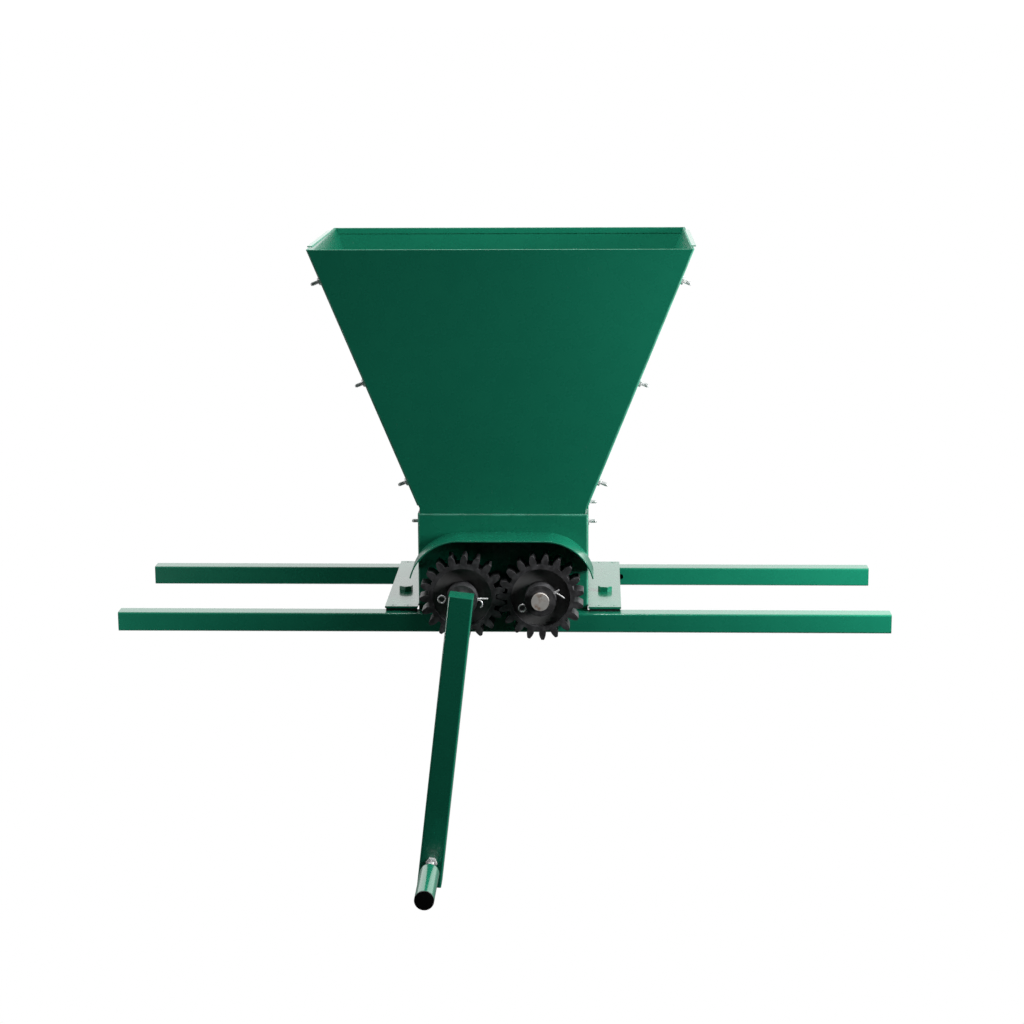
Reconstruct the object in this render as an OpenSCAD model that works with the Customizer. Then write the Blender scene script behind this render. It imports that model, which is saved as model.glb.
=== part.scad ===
// Hand-cranked grape crusher: a bolted sheet hopper on a roller box carried by two rails.
// Millimetres. Z is up, X runs along the rails and the crank is on the -Y side.
// The origin lies midway between the rails, in the plane of their undersides.

/* [Rails] */
// Length of each carrying rail
rail_length = 800; // [500:10:1200]
// Outside size of the square rail tube
rail_size = 20; // [16:1:30]
// Wall of the rail tube
rail_wall = 1.5; // [1:0.1:2.5]
// Outside corner radius of the rail tube
rail_corner = 2; // [0.5:0.1:4]
// Clear distance between the rails, which is also the outside depth of the roller box
rail_gap = 186; // [150:1:260]
// Diameter of the paint drain holes in the rails' inner walls
drain_hole_d = 6; // [3:0.5:10]
// Distance of a drain hole beyond the flange's outer edge
drain_hole_offset = 1.5; // [1:0.5:60]

/* [Roller box] */
// Height of the box's top edge above the rails
box_rise = 101; // [96:1:140]
// Sheet thickness of the box
box_sheet = 2; // [1:0.1:3]
// Height of the front and rear plates' lower edge above the rails' undersides
plate_floor = 3; // [0:0.5:8]
// Gap between a roller's outer side and the side plate
roller_side_gap = 6.5; // [5:0.5:15]
// Depth of the front plate's returns along the side plates
return_depth = 26; // [20:1:36]
// Gap between the front plate's returns and the flanges below them
return_gap = 1; // [0.5:0.5:4]

/* [Flanges] */
// Width of a side plate's flange
flange_width = 36.5; // [32:0.5:50]
// Reach of a flange over each rail
flange_reach = 10; // [8:0.5:14]
// Height of the spacer strips between the rails and the flanges
spacer_height = 3; // [1:0.5:8]
// Wall of a spacer strip beside its screws
spacer_wall = 2.5; // [2:0.1:4]
// Distance of a spacer strip's ends from the flange's ends
spacer_inset = 1; // [0.5:0.5:2]
// Gap between the flanges' ears and the front and rear plates
ear_gap = 0.5; // [0.2:0.1:2]
// Distance of the inner flange screw from the side plate
screw_inner_inset = 13; // [8:0.5:14]
// Distance of the outer flange screw from the flange's edge
screw_outer_inset = 8; // [5:0.5:12]
// Distance of the flange screws from the rail's inner face
screw_rail_inset = 5; // [4.5:0.1:8]
// Length of a flange screw below the flange's top
flange_screw_length = 12; // [8:0.5:14]
// Diameter of a flange screw's sunk head
sunk_head_d = 7.5; // [6.5:0.1:9]
// Sheet left below a sunk head
sunk_land = 0.4; // [0.2:0.1:0.8]

/* [Hopper] */
// Width of the hopper's mouth over the front panel
hopper_top_width = 387; // [280:1:480]
// Depth of the hopper's mouth over the front and rear panels
hopper_top_depth = 253; // [200:1:320]
// Height of the hopper above the box
hopper_height = 276; // [180:1:360]
// Sheet thickness of the hopper
hopper_sheet = 1.2; // [0.8:0.1:2]
// Depth of the hopper's skirt inside the box
skirt_depth = 28; // [22:1:32]
// Gap between neighbouring hopper panels
panel_gap = 0.2; // [0.1:0.1:1]
// Width of the returns on the front and rear panels
hopper_return = 30; // [22:1:45]
// Height of the returns' lower ends above the box
return_start = 8; // [3:1:20]
// Width of the lip along the side panels' top edges
lip_width = 4; // [2:0.5:12]
// Gap between the ends of a lip and the returns
lip_end_gap = 6; // [2:1:20]
// Height of the folded hem along the front and rear panels' top edges
hem_height = 6; // [3:0.5:12]

/* [Small bolts] */
// Thread diameter of the hopper bolts, box bolts and flange screws
small_d = 4; // [3:0.5:5]
// Width across flats of the small nuts
small_nut_af = 7; // [6:0.1:9]
// Height of the small nuts
small_nut_h = 3.2; // [2:0.1:5]
// Head diameter of the small bolts
small_head_d = 7.5; // [6.5:0.1:9]
// Head height of the small bolts
small_head_h = 2.4; // [1.5:0.1:4]
// Length of thread past a small nut
small_tail = 8; // [2:0.5:12]
// Number of bolts along each slanted hopper edge
bolts_per_edge = 3; // [2:1:5]
// Distance of the end bolts from the slanted edge's ends
hopper_bolt_margin = 35; // [20:1:60]
// Distance of the hopper bolts from the front and rear panels
hopper_bolt_inset = 14; // [10:0.5:17]
// Distance between the two box bolts on each side
box_bolt_spread = 100; // [60:1:120]
// Distance of the box bolts below the box's top edge
box_bolt_drop = 16.5; // [10:0.5:17]

/* [Flange bolts] */
// Thread diameter of the upright bolts in the flanges
flange_bolt_d = 8; // [5:0.5:10]
// Width across flats of their heads and nuts
flange_bolt_af = 13; // [12:0.5:16]
// Height of their heads
flange_head_h = 5.5; // [4:0.5:10]
// Height of their nuts
flange_nut_h = 6.5; // [4:0.5:8]
// Length of thread past their nuts
flange_bolt_tail = 4; // [1:0.5:10]
// Distance of the bolts from the side plates
flange_bolt_inset = 20; // [14:0.5:22]
// Distance of the bolts in front of the box's middle
flange_bolt_lead = 33; // [0:1:50]
// Turn of the left bolt's head
left_bolt_turn = 24; // [0:1:59]
// Turn of the right bolt's head
right_bolt_turn = 50; // [0:1:59]

/* [Shafts and rollers] */
// Distance between the two shafts
shaft_spacing = 80; // [72:1:90]
// Height of the shafts above the rails
shaft_rise = 23; // [21:0.5:30]
// Diameter of the shafts
shaft_d = 18; // [12:0.5:20]
// Radial running clearance of the shafts in their bushes
running_gap = 0.06; // [0.02:0.01:0.1]
// Radial gap of round pieces that sit tight in each other
snug_gap = 0.05; // [0.02:0.01:0.1]
// Gap between the two rollers
roller_gap = 5; // [2:0.5:10]
// Number of flutes round a roller
roller_flutes = 12; // [6:1:16]
// Diameter of the tool that cuts a flute
flute_d = 12; // [8:0.5:14]
// Depth of a flute
flute_depth = 4; // [1:0.5:5]
// Gap between a roller's end and its bush
roller_end_gap = 0.5; // [0.3:0.1:3]
// Wall between the shaft and a roller's end pocket
roller_hub_wall = 6; // [3:0.5:8]
// Wall between a flute's bottom and a roller's end pocket
roller_rim_wall = 5; // [2:0.5:6]
// Thickness of the solid web in the middle of a roller
roller_web = 36; // [16:1:80]
// Diameter of a roller's grub screw
grub_d = 6; // [4:0.5:8]
// Length of a roller's grub screw
grub_length = 12; // [6:0.5:20]

/* [Bushes] */
// Wall of a bush
bush_wall = 3; // [2:0.1:5]
// Width of a bush's flange round its outside
bush_flange_width = 3; // [2:0.1:5]
// Thickness of a bush's flange
bush_flange = 2.5; // [1.5:0.1:5]
// Length of a bush outside the box
bush_reach = 8; // [4:0.5:14]
// Length of a shaft past its rear bush
shaft_overhang = 4; // [1:0.5:10]

/* [Gears] */
// Number of teeth on each gear
gear_teeth = 19; // [16:1:24]
// Pressure angle of the teeth
pressure_angle = 20; // [14.5:0.5:22]
// Height of a tooth above the pitch circle
addendum = 4.2; // [3:0.1:4.9]
// Depth of a tooth space below the pitch circle
dedendum = 5.3; // [4.6:0.1:8]
// Play between two meshed teeth
backlash = 0.6; // [0.5:0.1:1.2]
// Length of a tooth's rounded tip
tip_round = 0.8; // [0.2:0.1:1.2]
// Share of a tooth's width that stays flat at its tip
tip_flat = 0.45; // [0.2:0.05:0.8]
// Turn of the drive gear that sets the first tooth
drive_phase = 11.5; // [0:0.5:18]
// Width of the teeth
gear_face = 23; // [12:1:30]
// Gap between the front rail and the gears
gear_gap = 2; // [1:0.5:8]
// Wall of a gear's hub round the shaft
hub_wall = 7; // [5:0.5:10]
// Length of a hub in front of the teeth
hub_nose = 13; // [9:0.5:20]
// Gap between a hub and its bush
hub_gap = 1; // [0.5:0.5:3]
// Radial thickness of the rim under the teeth
gear_rim = 4.5; // [3:0.5:7]
// Thickness of a gear's web
gear_web = 8; // [4:0.5:11]
// Length of the driven shaft past its hub
shaft_nose = 5; // [2:0.5:15]

/* [Split pins] */
// Diameter of a split pin's stem
pin_d = 3; // [2:0.1:4]
// Wire diameter of a split pin's eye and legs
pin_wire = 1.6; // [1:0.1:1.8]
// Radius of a split pin's eye to the middle of its wire
pin_eye = 3.6; // [2.5:0.1:5]
// Length of a split pin's straight leg
pin_leg = 10; // [5:0.5:14]
// Radial gap between a split pin and its hole
pin_gap = 0.1; // [0.05:0.05:0.3]
// Sweep of the drive gear pin's curled leg
pin_curl = 150; // [60:5:170]
// Angle between the legs of the driven gear's pin
pin_spread = 60; // [30:1:90]
// Turn of the driven gear's split pin
driven_pin_turn = 26; // [0:1:90]

/* [Gear hood] */
// Gap between the tooth tips and the hood
hood_gap = 6; // [4:0.5:12]
// Distance of the hood's arc centres beyond the shafts
hood_spread = 4; // [0:0.5:8]
// Height of the hood's arc centres above the shafts
hood_rise = 7; // [0:0.5:12]
// Height of the hood's lower ends above the shafts
hood_end_rise = 19.5; // [12:0.5:30]
// Sheet thickness of the hood
hood_sheet = 1.5; // [1:0.1:3]
// Depth of the hood in front of the box
hood_depth = 42; // [25:1:55]

/* [Crank] */
// Distance from the shaft to the handle
crank_throw = 270; // [150:5:350]
// Turn of the hanging crank from the vertical
crank_turn = 6.7; // [0:0.1:30]
// Outside size of the square crank tube
arm_size = 25; // [22:1:30]
// Wall of the crank tube
arm_wall = 1.5; // [1:0.1:2.5]
// Outside corner radius of the crank tube
arm_corner = 2; // [0.5:0.1:3]
// Gap between the drive shaft and the crank tube's closed end above it
arm_head_gap = 0.5; // [0.3:0.1:6]
// Length of the crank tube past the handle's axis
arm_tail = 27; // [12:1:50]
// Gap between the driven shaft's end and the crank tube that swings past it
arm_gap = 2; // [1:0.5:6]
// Gap between the drive shaft's end and the crank tube's front wall
shaft_end_gap = 0.3; // [0.1:0.1:1]

/* [Handle] */
// Diameter of the handle
handle_d = 20; // [18.5:0.5:30]
// Length of the handle tube
handle_length = 82; // [60:1:130]
// Wall of the handle tube
handle_wall = 1.5; // [1:0.1:2.5]
// Thickness of the handle's rounded inner end
handle_end = 10; // [9.5:0.5:14]
// Radius of the rounded inner end
handle_round = 9; // [1:0.5:9]
// Diameter of the handle bolt
handle_bolt_d = 6; // [5:0.5:8]
// Width across flats of the handle bolt's head and nuts
handle_nut_af = 10; // [8:0.5:13]
// Height of the handle nuts
handle_nut_h = 5; // [3:0.5:8]
// Height of the handle bolt's head
handle_head_h = 4; // [2:0.5:6]
// Length of bare bolt between the crank's nut and the handle's stop nut
handle_bare = 13; // [2:0.5:30]
// End play of the handle on its bolt
handle_play = 0.5; // [0.3:0.1:1.5]
// Length of thread past the handle's inner nut
handle_bolt_tail = 2; // [1:0.5:6]
// Thickness of the handle plug's cap
plug_cap = 2; // [1:0.5:4]
// Length of the handle plug inside the tube
plug_length = 12; // [5:1:25]

/* [Hidden] */
$fn = 64;
cut = 0.1;
hex = 6;
hex_corner = 1 / cos(30);
involute_steps = 5;
tip_steps = 3;
wire_sides = 16;
enamel = "#0f5a45";
zinc = "#c6c9cc";
cast_black = "#26272a";
bare_steel = "#8f8780";
cast_aluminium = "#b9bcc0";
bush_bronze = "#a58755";
plug_black = "#141414";
strip_black = "#101211";

box_half_y = rail_gap / 2;
rail_front = box_half_y + rail_size;
deck = rail_size;
box_top = deck + box_rise;
axis_z = deck + shaft_rise;
shaft_x = shaft_spacing / 2;

roller_r = (shaft_spacing - roller_gap) / 2;
side_in = shaft_x + roller_r + roller_side_gap;
side_out = side_in + box_sheet;
plate_half = side_out + box_sheet;
plate_in = box_half_y - box_sheet;

flange_z = deck + spacer_height;
flange_top = flange_z + box_sheet;
flange_edge = side_out + flange_width;
flange_end = box_half_y + flange_reach;
spacer_depth = small_d + 2 * spacer_wall;
ear_in = plate_half + ear_gap;
sunk_head_h = box_sheet - sunk_land;
screw_xs = [side_out + screw_inner_inset, flange_edge - screw_outer_inset];
screw_y = box_half_y + screw_rail_inset;

hopper_top = box_top + hopper_height;
side_top = hopper_top_width / 2 - hopper_sheet;
side_lean = atan((side_top - side_in) / hopper_height);
side_slope = hopper_height / cos(side_lean);
front_top = hopper_top_depth / 2;
front_lean = atan((front_top - plate_in) / hopper_height);
corner_x = hopper_sheet / cos(side_lean);
corner_y = hopper_sheet / cos(front_lean) + panel_gap;
bolt_rows = [for (i = [0 : bolts_per_edge - 1])
    hopper_bolt_margin + i * (side_slope - 2 * hopper_bolt_margin) / (bolts_per_edge - 1)];
box_bolt_z = box_top - box_bolt_drop;

bush_d = shaft_d + 2 * bush_wall;
bush_flange_d = bush_d + 2 * bush_flange_width;
bush_front = box_half_y + bush_reach;
roller_half = plate_in - bush_flange - roller_end_gap;
flute_bottom = roller_r - flute_depth;
pocket_in = shaft_d / 2 + roller_hub_wall;
pocket_out = flute_bottom - roller_rim_wall;

pitch_r = shaft_x;
base_r = pitch_r * cos(pressure_angle);
tip_r = pitch_r + addendum;
root_r = pitch_r - dedendum;
gear_back = rail_front + gear_gap;
gear_front = gear_back + gear_face;
hub_d = shaft_d + 2 * hub_wall;
hub_back = bush_front + hub_gap;
hub_front = gear_front + hub_nose;
driven_phase = 180 - drive_phase + 180 / gear_teeth;
pin_y = (gear_front + hub_front) / 2;

hood_r = tip_r + hood_gap;
hood_x = shaft_x + hood_spread;
hood_z = axis_z + hood_rise;
hood_end_z = axis_z + hood_end_rise;

driven_end = hub_front + shaft_nose;
arm_head = shaft_d / 2 + arm_head_gap + arm_wall;
arm_back = driven_end + arm_gap;
arm_front = arm_back + arm_size;
handle_stop = arm_front + handle_nut_h + handle_bare;
handle_back = handle_stop + handle_nut_h + handle_play;
inner_nut_back = handle_back + handle_end + handle_play;
handle_front = handle_back + handle_length;

// Half-angle of a tooth at radius r, from the involute of the base circle
function involute(a) = tan(a) * 180 / PI - a;
function tooth_half(r) = 90 / gear_teeth - backlash / 4 / pitch_r * 180 / PI + involute(pressure_angle)
    - (r > base_r ? involute(acos(base_r / r)) : 0);

// One flank from root to tip as [radius, half-angle] pairs
flank_start = max(base_r, root_r + cut);
flank_end = tip_r - tip_round;
flank = concat(
    [[root_r, tooth_half(root_r)]],
    [for (i = [0 : involute_steps])
        let (r = flank_start + i * (flank_end - flank_start) / involute_steps)
        [r, tooth_half(r)]],
    [for (i = [1 : tip_steps])
        let (a = 90 * i / tip_steps)
        [flank_end + tip_round * sin(a), tooth_half(flank_end) * (1 - (1 - tip_flat) * (1 - cos(a)))]]);
flank_last = len(flank) - 1;

module rounded_square(size, corner) {
    square([size, size - 2 * corner], center = true);
    square([size - 2 * corner, size], center = true);
    for (sx = [-1, 1], sy = [-1, 1])
        translate([sx * (size / 2 - corner), sy * (size / 2 - corner)])
            circle(corner);
}

module square_tube_section(size, wall, corner) {
    difference() {
        rounded_square(size, corner);
        square(size - 2 * wall, center = true);
    }
}

// Places a shape drawn along +Z so that it points along -Y from y = -start
module along_front(start) {
    translate([0, -start, 0])
        rotate([90, 0, 0])
            children();
}

module at_shaft(side) {
    translate([side * shaft_x, 0, axis_z])
        children();
}

module hex_nut(flats, height, bore_d) {
    difference() {
        cylinder(h = height, d = flats * hex_corner, $fn = hex);
        translate([0, 0, -cut])
            cylinder(h = height + 2 * cut, d = bore_d + 2 * snug_gap);
    }
}

// Pan-head bolt whose head lies below z = 0 and whose shank runs up from it
module pan_bolt(shank) {
    translate([0, 0, -small_head_h])
        cylinder(h = small_head_h, d = small_head_d);
    translate([0, 0, -cut])
        cylinder(h = shank + cut, d = small_d);
}

module hex_bolt(thread_d, flats, head_h, shank) {
    translate([0, 0, -head_h])
        cylinder(h = head_h, d = flats * hex_corner, $fn = hex);
    translate([0, 0, -cut])
        cylinder(h = shank + cut, d = thread_d);
}

// Hole for a sunk screw whose head is flush with z = 0
module sunk_hole() {
    hole_d = small_d + 2 * snug_gap;
    mouth_d = sunk_head_d + 2 * snug_gap;
    translate([0, 0, -sunk_head_h])
        cylinder(h = sunk_head_h, d1 = hole_d, d2 = mouth_d);
    translate([0, 0, -cut])
        cylinder(h = 2 * cut, d = mouth_d);
    small_hole(4 * box_sheet);
}

module small_hole(depth) {
    translate([0, 0, -depth / 2])
        cylinder(h = depth, d = small_d + 2 * snug_gap);
}

// Rails

module rail(side) {
    color(enamel)
        difference() {
            translate([-rail_length / 2, side * (box_half_y + rail_size / 2), rail_size / 2])
                rotate([90, 0, 90])
                    linear_extrude(rail_length)
                        square_tube_section(rail_size, rail_wall, rail_corner);
            for (sx = [-1, 1], x = screw_xs)
                translate([sx * x, side * screw_y, deck])
                    small_hole(rail_size);
            for (sx = [-1, 1])
                translate([sx * (flange_edge + drain_hole_offset), side * box_half_y, rail_size / 2])
                    rotate([90, 0, 0])
                        cylinder(h = rail_size, d = drain_hole_d, center = true);
        }
}

module front_rail() {
    rail(-1);
}

module rear_rail() {
    rail(1);
}

// Roller box

module bush_holes() {
    for (side = [-1, 1])
        at_shaft(side)
            rotate([90, 0, 0])
                cylinder(h = 2 * box_sheet + 2 * cut, d = bush_d + 2 * snug_gap, center = true);
}

module wall_plate() {
    difference() {
        translate([-plate_half, -box_sheet, plate_floor])
            cube([2 * plate_half, box_sheet, box_top - plate_floor]);
        bush_holes();
    }
}

module front_plate() {
    return_floor = flange_top + return_gap;
    color(enamel) {
        translate([0, -plate_in, 0])
            wall_plate();
        for (side = [-1, 1])
            translate([side > 0 ? side_out : -plate_half, -plate_in - cut, return_floor])
                cube([box_sheet, return_depth - box_sheet + cut, box_top - return_floor]);
    }
}

module rear_plate() {
    color(enamel)
        translate([0, box_half_y, 0])
            wall_plate();
}

module flange_outline() {
    polygon([
        [side_in, -plate_in],
        [ear_in, -plate_in],
        [ear_in, -flange_end],
        [flange_edge, -flange_end],
        [flange_edge, flange_end],
        [ear_in, flange_end],
        [ear_in, plate_in],
        [side_in, plate_in]]);
}

module box_bolt_axis(side) {
    for (sy = [-1, 1])
        translate([side * side_in, sy * box_bolt_spread / 2, box_bolt_z])
            rotate([0, side * 90, 0])
                children();
}

module flange_bolt_axis(side) {
    translate([side * (side_out + flange_bolt_inset), -flange_bolt_lead, flange_top])
        rotate(side < 0 ? left_bolt_turn : right_bolt_turn)
            children();
}

module side_plate(side) {
    color(enamel)
        difference() {
            union() {
                mirror([side < 0 ? 1 : 0, 0, 0]) {
                    translate([0, 0, flange_z])
                        linear_extrude(box_sheet)
                            flange_outline();
                    translate([side_in, -plate_in, flange_z])
                        cube([box_sheet, 2 * plate_in, box_top - flange_z]);
                }
            }
            for (sy = [-1, 1], x = screw_xs)
                translate([side * x, sy * screw_y, flange_top])
                    sunk_hole();
            box_bolt_axis(side)
                small_hole(6 * box_sheet);
            flange_bolt_axis(side)
                cylinder(h = 4 * box_sheet, d = flange_bolt_d + 2 * snug_gap, center = true);
        }
}

module left_side_plate() {
    side_plate(-1);
}

module right_side_plate() {
    side_plate(1);
}

module flange_spacers() {
    spacer_length = flange_edge - ear_in - 2 * spacer_inset;
    color(strip_black)
        for (side = [-1, 1], sy = [-1, 1])
            difference() {
                mirror([side < 0 ? 1 : 0, 0, 0])
                    translate([ear_in + spacer_inset, sy * screw_y - spacer_depth / 2, deck])
                        cube([spacer_length, spacer_depth, spacer_height]);
                for (x = screw_xs)
                    translate([side * x, sy * screw_y, deck - cut])
                        cylinder(h = spacer_height + 2 * cut, d = small_d + 2 * snug_gap);
            }
}

module flange_screws() {
    color(enamel)
        for (side = [-1, 1], sy = [-1, 1], x = screw_xs)
            translate([side * x, sy * screw_y, flange_top]) {
                translate([0, 0, -sunk_head_h])
                    cylinder(h = sunk_head_h, d1 = small_d, d2 = sunk_head_d);
                translate([0, 0, -flange_screw_length])
                    cylinder(h = flange_screw_length - sunk_head_h + cut, d = small_d);
            }
}

module flange_bolts() {
    shank = box_sheet + flange_nut_h + flange_bolt_tail;
    color(enamel)
        for (side = [-1, 1])
            flange_bolt_axis(side)
                mirror([0, 0, 1])
                    hex_bolt(flange_bolt_d, flange_bolt_af, flange_head_h, shank);
}

module flange_nuts() {
    color(enamel)
        for (side = [-1, 1])
            flange_bolt_axis(side)
                translate([0, 0, -box_sheet - flange_nut_h])
                    hex_nut(flange_bolt_af, flange_nut_h, flange_bolt_d);
}

module hood_solid(offset_r, floor_z) {
    for (side = [-1, 1])
        translate([side * hood_x, hood_z])
            circle(hood_r + offset_r);
    translate([-hood_x, floor_z])
        square([2 * hood_x, hood_z + hood_r + offset_r - floor_z]);
}

module gear_hood() {
    hood_span = hood_x + hood_r + 2 * hood_sheet;
    color(enamel)
        along_front(box_half_y)
            linear_extrude(hood_depth)
                difference() {
                    hood_solid(hood_sheet, hood_z);
                    hood_solid(0, hood_z - hood_r);
                    translate([-hood_span, hood_z - 2 * hood_r])
                        square([2 * hood_span, hood_end_z - hood_z + 2 * hood_r]);
                }
}

// Hopper

// Outer faces of the side and front panels at height z
function side_at(z) = side_in + (side_top - side_in) * (z - box_top) / hopper_height;
function front_at(z) = plate_in + (front_top - plate_in) * (z - box_top) / hopper_height;

// Extrudes an outline drawn as [x, z] both ways along Y
module along_depth() {
    rotate([90, 0, 0])
        linear_extrude(2 * hopper_top_depth, center = true)
            children();
}

// Extrudes an outline drawn as [y, z] both ways along X
module along_width(width) {
    rotate([90, 0, 90])
        linear_extrude(width, center = true)
            children();
}

// Section of a bent panel as [outward, z]: the upright skirt, then the slope up to the mouth
module panel_section(base, top, lean) {
    polygon([
        [base, box_top - skirt_depth],
        [base, box_top],
        [top, hopper_top],
        [top - hopper_sheet / cos(lean), hopper_top],
        [base - hopper_sheet, box_top + hopper_sheet * tan(lean / 2)],
        [base - hopper_sheet, box_top - skirt_depth]]);
}

module hopper_bolt_axes(side) {
    mirror([side < 0 ? 1 : 0, 0, 0])
        translate([side_in, 0, box_top])
            rotate([0, side_lean, 0])
                for (sy = [-1, 1], climb = bolt_rows)
                    let (z = box_top + climb * cos(side_lean))
                    translate([0, sy * (front_at(z) - hopper_bolt_inset), climb])
                        rotate([0, 90, 0])
                            children();
}

module hopper_side_panel(side) {
    floor_z = box_top - skirt_depth - cut;
    ceiling_z = hopper_top + cut;
    bottom_half = plate_in - corner_y;
    top_half = front_at(ceiling_z) - corner_y;
    lip_half = front_top - hopper_return - lip_end_gap;
    color(enamel)
        difference() {
            mirror([side < 0 ? 1 : 0, 0, 0]) {
                intersection() {
                    along_depth()
                        panel_section(side_in, side_top, side_lean);
                    along_width(2 * hopper_top_width)
                        polygon([
                            [-bottom_half, floor_z],
                            [bottom_half, floor_z],
                            [bottom_half, box_top],
                            [top_half, ceiling_z],
                            [-top_half, ceiling_z],
                            [-bottom_half, box_top]]);
                }
                translate([side_top - hopper_sheet, -lip_half, hopper_top - hopper_sheet])
                    cube([hopper_sheet + lip_width, 2 * lip_half, hopper_sheet]);
            }
            hopper_bolt_axes(side)
                small_hole(6 * hopper_sheet);
            box_bolt_axis(side)
                small_hole(6 * hopper_sheet);
        }
}

module hopper_left_panel() {
    hopper_side_panel(-1);
}

module hopper_right_panel() {
    hopper_side_panel(1);
}

// Return of the front panel that laps the side panel's outer face
module hopper_return_strip(side) {
    start_z = box_top + return_start;
    floor_z = start_z - cut;
    ceiling_z = hopper_top + cut;
    difference() {
        intersection() {
            mirror([side < 0 ? 1 : 0, 0, 0])
                along_depth()
                    polygon([
                        [side_at(start_z), start_z],
                        [side_at(start_z) + corner_x, start_z],
                        [side_top + corner_x, hopper_top],
                        [side_top, hopper_top]]);
            along_width(2 * hopper_top_width)
                polygon([
                    [hopper_sheet / 2 - front_at(floor_z), floor_z],
                    [hopper_return - front_at(floor_z), floor_z],
                    [hopper_return - front_at(ceiling_z), ceiling_z],
                    [hopper_sheet / 2 - front_at(ceiling_z), ceiling_z]]);
        }
        hopper_bolt_axes(side)
            small_hole(6 * hopper_sheet);
    }
}

// Folded hem along the front panel's top edge, drawn as [outward, z]
module hem_section() {
    drop_y = hem_height * sin(front_lean);
    drop_z = hem_height * cos(front_lean);
    outer = (hopper_sheet - cut) / cos(front_lean);
    inner = 2 * hopper_sheet / cos(front_lean);
    polygon([
        [front_top - outer, hopper_top],
        [front_top - inner, hopper_top],
        [front_top - inner - drop_y, hopper_top - drop_z],
        [front_top - outer - drop_y, hopper_top - drop_z]]);
}

module hopper_front_sheet() {
    floor_z = box_top - skirt_depth - cut;
    ceiling_z = hopper_top + cut;
    skirt_half = side_in - hopper_sheet - panel_gap;
    bend_half = side_in + corner_x;
    mouth_half = side_at(ceiling_z) + corner_x;
    hem_half = side_at(hopper_top - hem_height) - corner_x - panel_gap;
    intersection() {
        along_width(2 * hopper_top_width)
            mirror([1, 0])
                panel_section(plate_in, front_top, front_lean);
        along_depth()
            polygon([
                [-skirt_half, floor_z],
                [skirt_half, floor_z],
                [skirt_half, box_top],
                [bend_half, box_top],
                [mouth_half, ceiling_z],
                [-mouth_half, ceiling_z],
                [-bend_half, box_top],
                [-skirt_half, box_top]]);
    }
    along_width(2 * hem_half)
        mirror([1, 0])
            hem_section();
    for (side = [-1, 1])
        hopper_return_strip(side);
}

module hopper_front_panel() {
    color(enamel)
        hopper_front_sheet();
}

module hopper_rear_panel() {
    color(enamel)
        mirror([0, 1, 0])
            hopper_front_sheet();
}

module hopper_bolts() {
    shank = 2 * hopper_sheet + small_nut_h + small_tail;
    color(zinc)
        for (side = [-1, 1])
            hopper_bolt_axes(side)
                translate([0, 0, -hopper_sheet])
                    pan_bolt(shank);
}

module hopper_nuts() {
    color(zinc)
        for (side = [-1, 1])
            hopper_bolt_axes(side)
                translate([0, 0, hopper_sheet])
                    hex_nut(small_nut_af, small_nut_h, small_d);
}

module box_bolts() {
    shank = hopper_sheet + box_sheet + small_nut_h + small_tail;
    color(zinc)
        for (side = [-1, 1])
            box_bolt_axis(side)
                translate([0, 0, -hopper_sheet])
                    pan_bolt(shank);
}

module box_nuts() {
    color(zinc)
        for (side = [-1, 1])
            box_bolt_axis(side)
                translate([0, 0, box_sheet])
                    hex_nut(small_nut_af, small_nut_h, small_d);
}

// Bushes

module front_bush(side) {
    color(bush_bronze)
        at_shaft(side)
            along_front(plate_in - bush_flange)
                difference() {
                    union() {
                        cylinder(h = bush_flange, d = bush_flange_d);
                        cylinder(h = bush_flange + box_sheet + bush_reach, d = bush_d);
                    }
                    translate([0, 0, -cut])
                        cylinder(h = rail_gap, d = shaft_d + 2 * running_gap);
                }
}

module left_front_bush() {
    front_bush(-1);
}

module right_front_bush() {
    front_bush(1);
}

module left_rear_bush() {
    mirror([0, 1, 0])
        front_bush(-1);
}

module right_rear_bush() {
    mirror([0, 1, 0])
        front_bush(1);
}

// Shafts and rollers

module shaft(side, front, pin_turn) {
    shaft_length = front + bush_front + shaft_overhang;
    color(bare_steel)
        at_shaft(side)
            difference() {
                along_front(-bush_front - shaft_overhang)
                    cylinder(h = shaft_length, d = shaft_d);
                pin_hole(pin_turn);
            }
}

module drive_shaft() {
    shaft(-1, arm_front - arm_wall - shaft_end_gap, 0);
}

module driven_shaft() {
    shaft(1, driven_end, driven_pin_turn);
}

module roller_section() {
    difference() {
        circle(roller_r);
        for (i = [0 : roller_flutes - 1])
            rotate(i * 360 / roller_flutes)
                translate([flute_bottom + flute_d / 2, 0])
                    circle(d = flute_d);
    }
}

module roller(side) {
    color(cast_aluminium)
        at_shaft(side)
            difference() {
                along_front(-roller_half)
                    linear_extrude(2 * roller_half)
                        roller_section();
                along_front(-roller_half - cut)
                    cylinder(h = 2 * roller_half + 2 * cut, d = shaft_d + 2 * snug_gap);
                for (start = [-roller_half - cut, roller_web / 2])
                    along_front(start)
                        difference() {
                            cylinder(h = roller_half - roller_web / 2 + cut, r = pocket_out);
                            translate([0, 0, -cut])
                                cylinder(h = roller_half, r = pocket_in);
                        }
                cylinder(h = roller_r + cut, d = grub_d + 2 * snug_gap);
            }
}

module drive_roller() {
    roller(-1);
}

module driven_roller() {
    roller(1);
}

module roller_screw(side) {
    color(zinc)
        at_shaft(side)
            translate([0, 0, shaft_d / 2 + snug_gap])
                cylinder(h = grub_length, d = grub_d);
}

module drive_roller_screw() {
    roller_screw(-1);
}

module driven_roller_screw() {
    roller_screw(1);
}

// Gears

module pin_hole(turn) {
    translate([0, -pin_y, 0])
        rotate([0, 90 - turn, 0])
            cylinder(h = 2 * hub_d, d = pin_d + 2 * pin_gap, center = true);
}

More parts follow.
